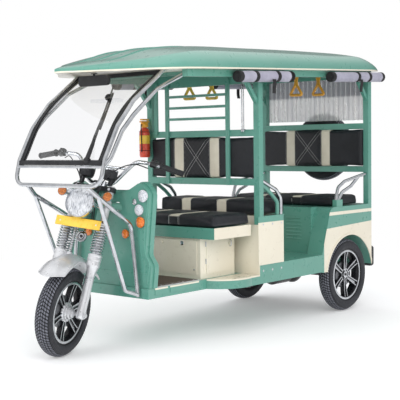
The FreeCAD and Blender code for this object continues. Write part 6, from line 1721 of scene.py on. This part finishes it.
def surface_tree(name):
    """A carried-over solid's surface, ready for ray casts."""
    item = bpy.data.objects[name]
    return BVHTree.FromPolygons([item.matrix_world @ point.co for point in item.data.vertices],
                                [tuple(face.vertices) for face in item.data.polygons])


def add_roof_ribs(looks):
    """Three pressed ribs on top of the roof's nose."""
    tree = surface_tree("roof")
    form = Form()
    for y in (-0.15, 0.0, 0.15):
        path = []
        sizes = []
        for step in range(25):
            x = 0.96 - 0.62 * step / 24
            hit = tree.ray_cast(Vector((x, y, 2.5)), Vector((0, 0, -1)))[0]
            if hit is None:
                continue
            path.append(hit + Vector((0, 0, -0.002)))
            sizes.append(0.0085 * math.sin(math.pi * min(1.0, max(0.0, (step + 0.6) / 25.2))) ** 0.4)
        tube(form, path, sizes, 14)
    piece("roof_ribs", form.mesh("roof_ribs"), looks["roof_top"])


def add_roof_cheeks(looks):
    """Closed cheeks that follow the roof's sides where the visor begins."""
    tree = surface_tree("roof")
    back, front = 0.966, 1.074
    form = Form()
    for side in (-1, 1):
        rows = []
        for step in range(13):
            x = back + (front - back) * step / 12
            share = step / 12
            outer = []
            inner = []
            for level in range(9):
                z = 1.5105 + 0.0345 * level / 8
                inwards = Vector((0, -side, 0))
                ends = [tree.ray_cast(Vector((place, side * 2.0, z)), inwards)[0] for place in (back, front)]
                y = ends[0].y * (1 - share) + ends[1].y * share
                proud = 0.0008 + 0.012 * share * (1 - share)
                outer.append(Vector((x, y + side * proud, z)))
                inner.append(Vector((x, y + side * (proud - 0.006), z)))
            rows.append(outer + inner[::-1])
        form.rows(rows, caps=True)
    piece("roof_cheeks", form.mesh("roof_cheeks", sharp=60.0), looks["roof"])


COWL_FACE = 0.8225
COWL_EDGE = ((0.302, 0.372), (0.316, 0.45), (0.318, 0.485), (0.292, 0.53), (0.284, 0.6), (0.294, 0.7),
             (0.312, 0.79), (0.314, 0.865), (0.286, 0.898))


def add_cowl_beads(looks):
    """A folded bead along each side of the cowl and a pressed line across its foot."""
    form = Form()
    for side in (-1, 1):
        tube(form, smooth_path([(COWL_FACE, side * y, z) for y, z in COWL_EDGE], 6), 0.0045, 10)
        tube(form, smooth_path([(COWL_FACE, side * (y - 0.032), z) for y, z in COWL_EDGE[:-2]], 6), 0.002, 8)
    tube(form, [(0.8228, -0.3, 0.425), (0.8228, 0.3, 0.425)], 0.0022, 8)
    piece("cowl_beads", form.mesh("cowl_beads"), looks["teal"])


SILL_EDGES = (0.258, 0.3175)


def add_sill_treads(looks):
    """Silver ribbed strips screwed on the driver's sills."""
    form = Form()
    for side in (-1, 1):
        low, high = sorted(side * edge for edge in SILL_EDGES)
        slab(form, (0.40, low, 0.3445), (0.77, high, 0.3475), 0.0012)
        for index in range(4):
            y = low + 0.012 + index * (high - low - 0.024) / 3
            tube(form, [(0.405, y, 0.3476), (0.765, y, 0.3476)], 0.0016, 6)
    piece("sill_treads", form.mesh("sill_treads"), looks["bright"])


def add_box_fittings(looks):
    """A lock and screws on the box's front door, a pull on its side door, and fixed hinges and screws."""
    lock = Form()
    lathe(lock, [(0.0, 0.0), (0.013, 0.0), (0.0135, 0.002), (0.011, 0.0045), (0.009, 0.005), (0.0, 0.0052)],
          (0.393, 0.17, 0.55), (1, 0, 0), 32)
    slab(lock, (0.3975, 0.1685, 0.5445), (0.4, 0.1715, 0.5555), 0.0005)
    for y in (-0.26, 0.26):
        dome(lock, (0.393, y, 0.4), (1, 0, 0), 0.0035)
    piece("front_door_lock", lock.mesh("front_door_lock"), looks["chrome"], "front_box_door")
    pull = Form()
    path = [(0.13, 0.3095, 0.556), (0.13, 0.322, 0.552), (0.13, 0.322, 0.522), (0.13, 0.3095, 0.518)]
    tube(pull, smooth_path(path, 5), 0.003, 10)
    piece("side_door_pull", pull.mesh("side_door_pull"), looks["chrome"], "side_box_door")
    form = Form()
    for y in (-0.26, 0.26):
        dome(form, (0.393, y, 0.6), (1, 0, 0), 0.0035)
    for z in (0.43, 0.53):
        tube(form, [(0.3375, 0.3035, z), (0.3375, 0.3035, z + 0.03)], 0.0035, 12)
    piece("box_fittings", form.mesh("box_fittings"), looks["chrome"])


def add_fasteners(looks):
    """Bolt and screw heads on the sills, panels and bumper."""
    form = Form()
    for side in (-1, 1):
        for x in (0.43, 0.52, 0.61, 0.7, 0.755):
            dome(form, (x, side * 0.2877, 0.3474), (0, 0, 1), 0.0042)
        for x in (-0.19, -0.1, -0.01):
            dome(form, (x, side * 0.454, 0.365), (0, side, 0), 0.0045)
            dome(form, (x, side * 0.4572, 0.64), (0, side, 0), 0.0045)
        for y in (0.14, 0.38):
            hex_bolt(form, (-1.3092, side * y, 0.333), (-1, 0, 0), 0.007)
    piece("fasteners", form.mesh("fasteners"), looks["bright"])


def add_details(looks):
    for build in (add_straps, add_extinguisher, add_front_hub, add_wiper, add_rod, add_roof_ribs,
                  add_roof_cheeks,
                  add_cowl_beads, add_sill_treads, add_box_fittings, add_fasteners):
        build(looks)


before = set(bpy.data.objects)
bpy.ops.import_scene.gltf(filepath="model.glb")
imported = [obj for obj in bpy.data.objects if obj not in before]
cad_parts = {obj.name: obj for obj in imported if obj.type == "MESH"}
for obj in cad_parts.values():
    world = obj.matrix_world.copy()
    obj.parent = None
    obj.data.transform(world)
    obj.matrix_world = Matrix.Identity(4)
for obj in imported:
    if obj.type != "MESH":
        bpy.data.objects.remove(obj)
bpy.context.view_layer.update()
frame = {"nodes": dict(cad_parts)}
add_stage()
looks = make_looks()
dress_nodes(frame, looks)
add_cushions(looks)
add_wheels(looks)
add_rolls(looks)
add_fork(looks)
add_details(looks)
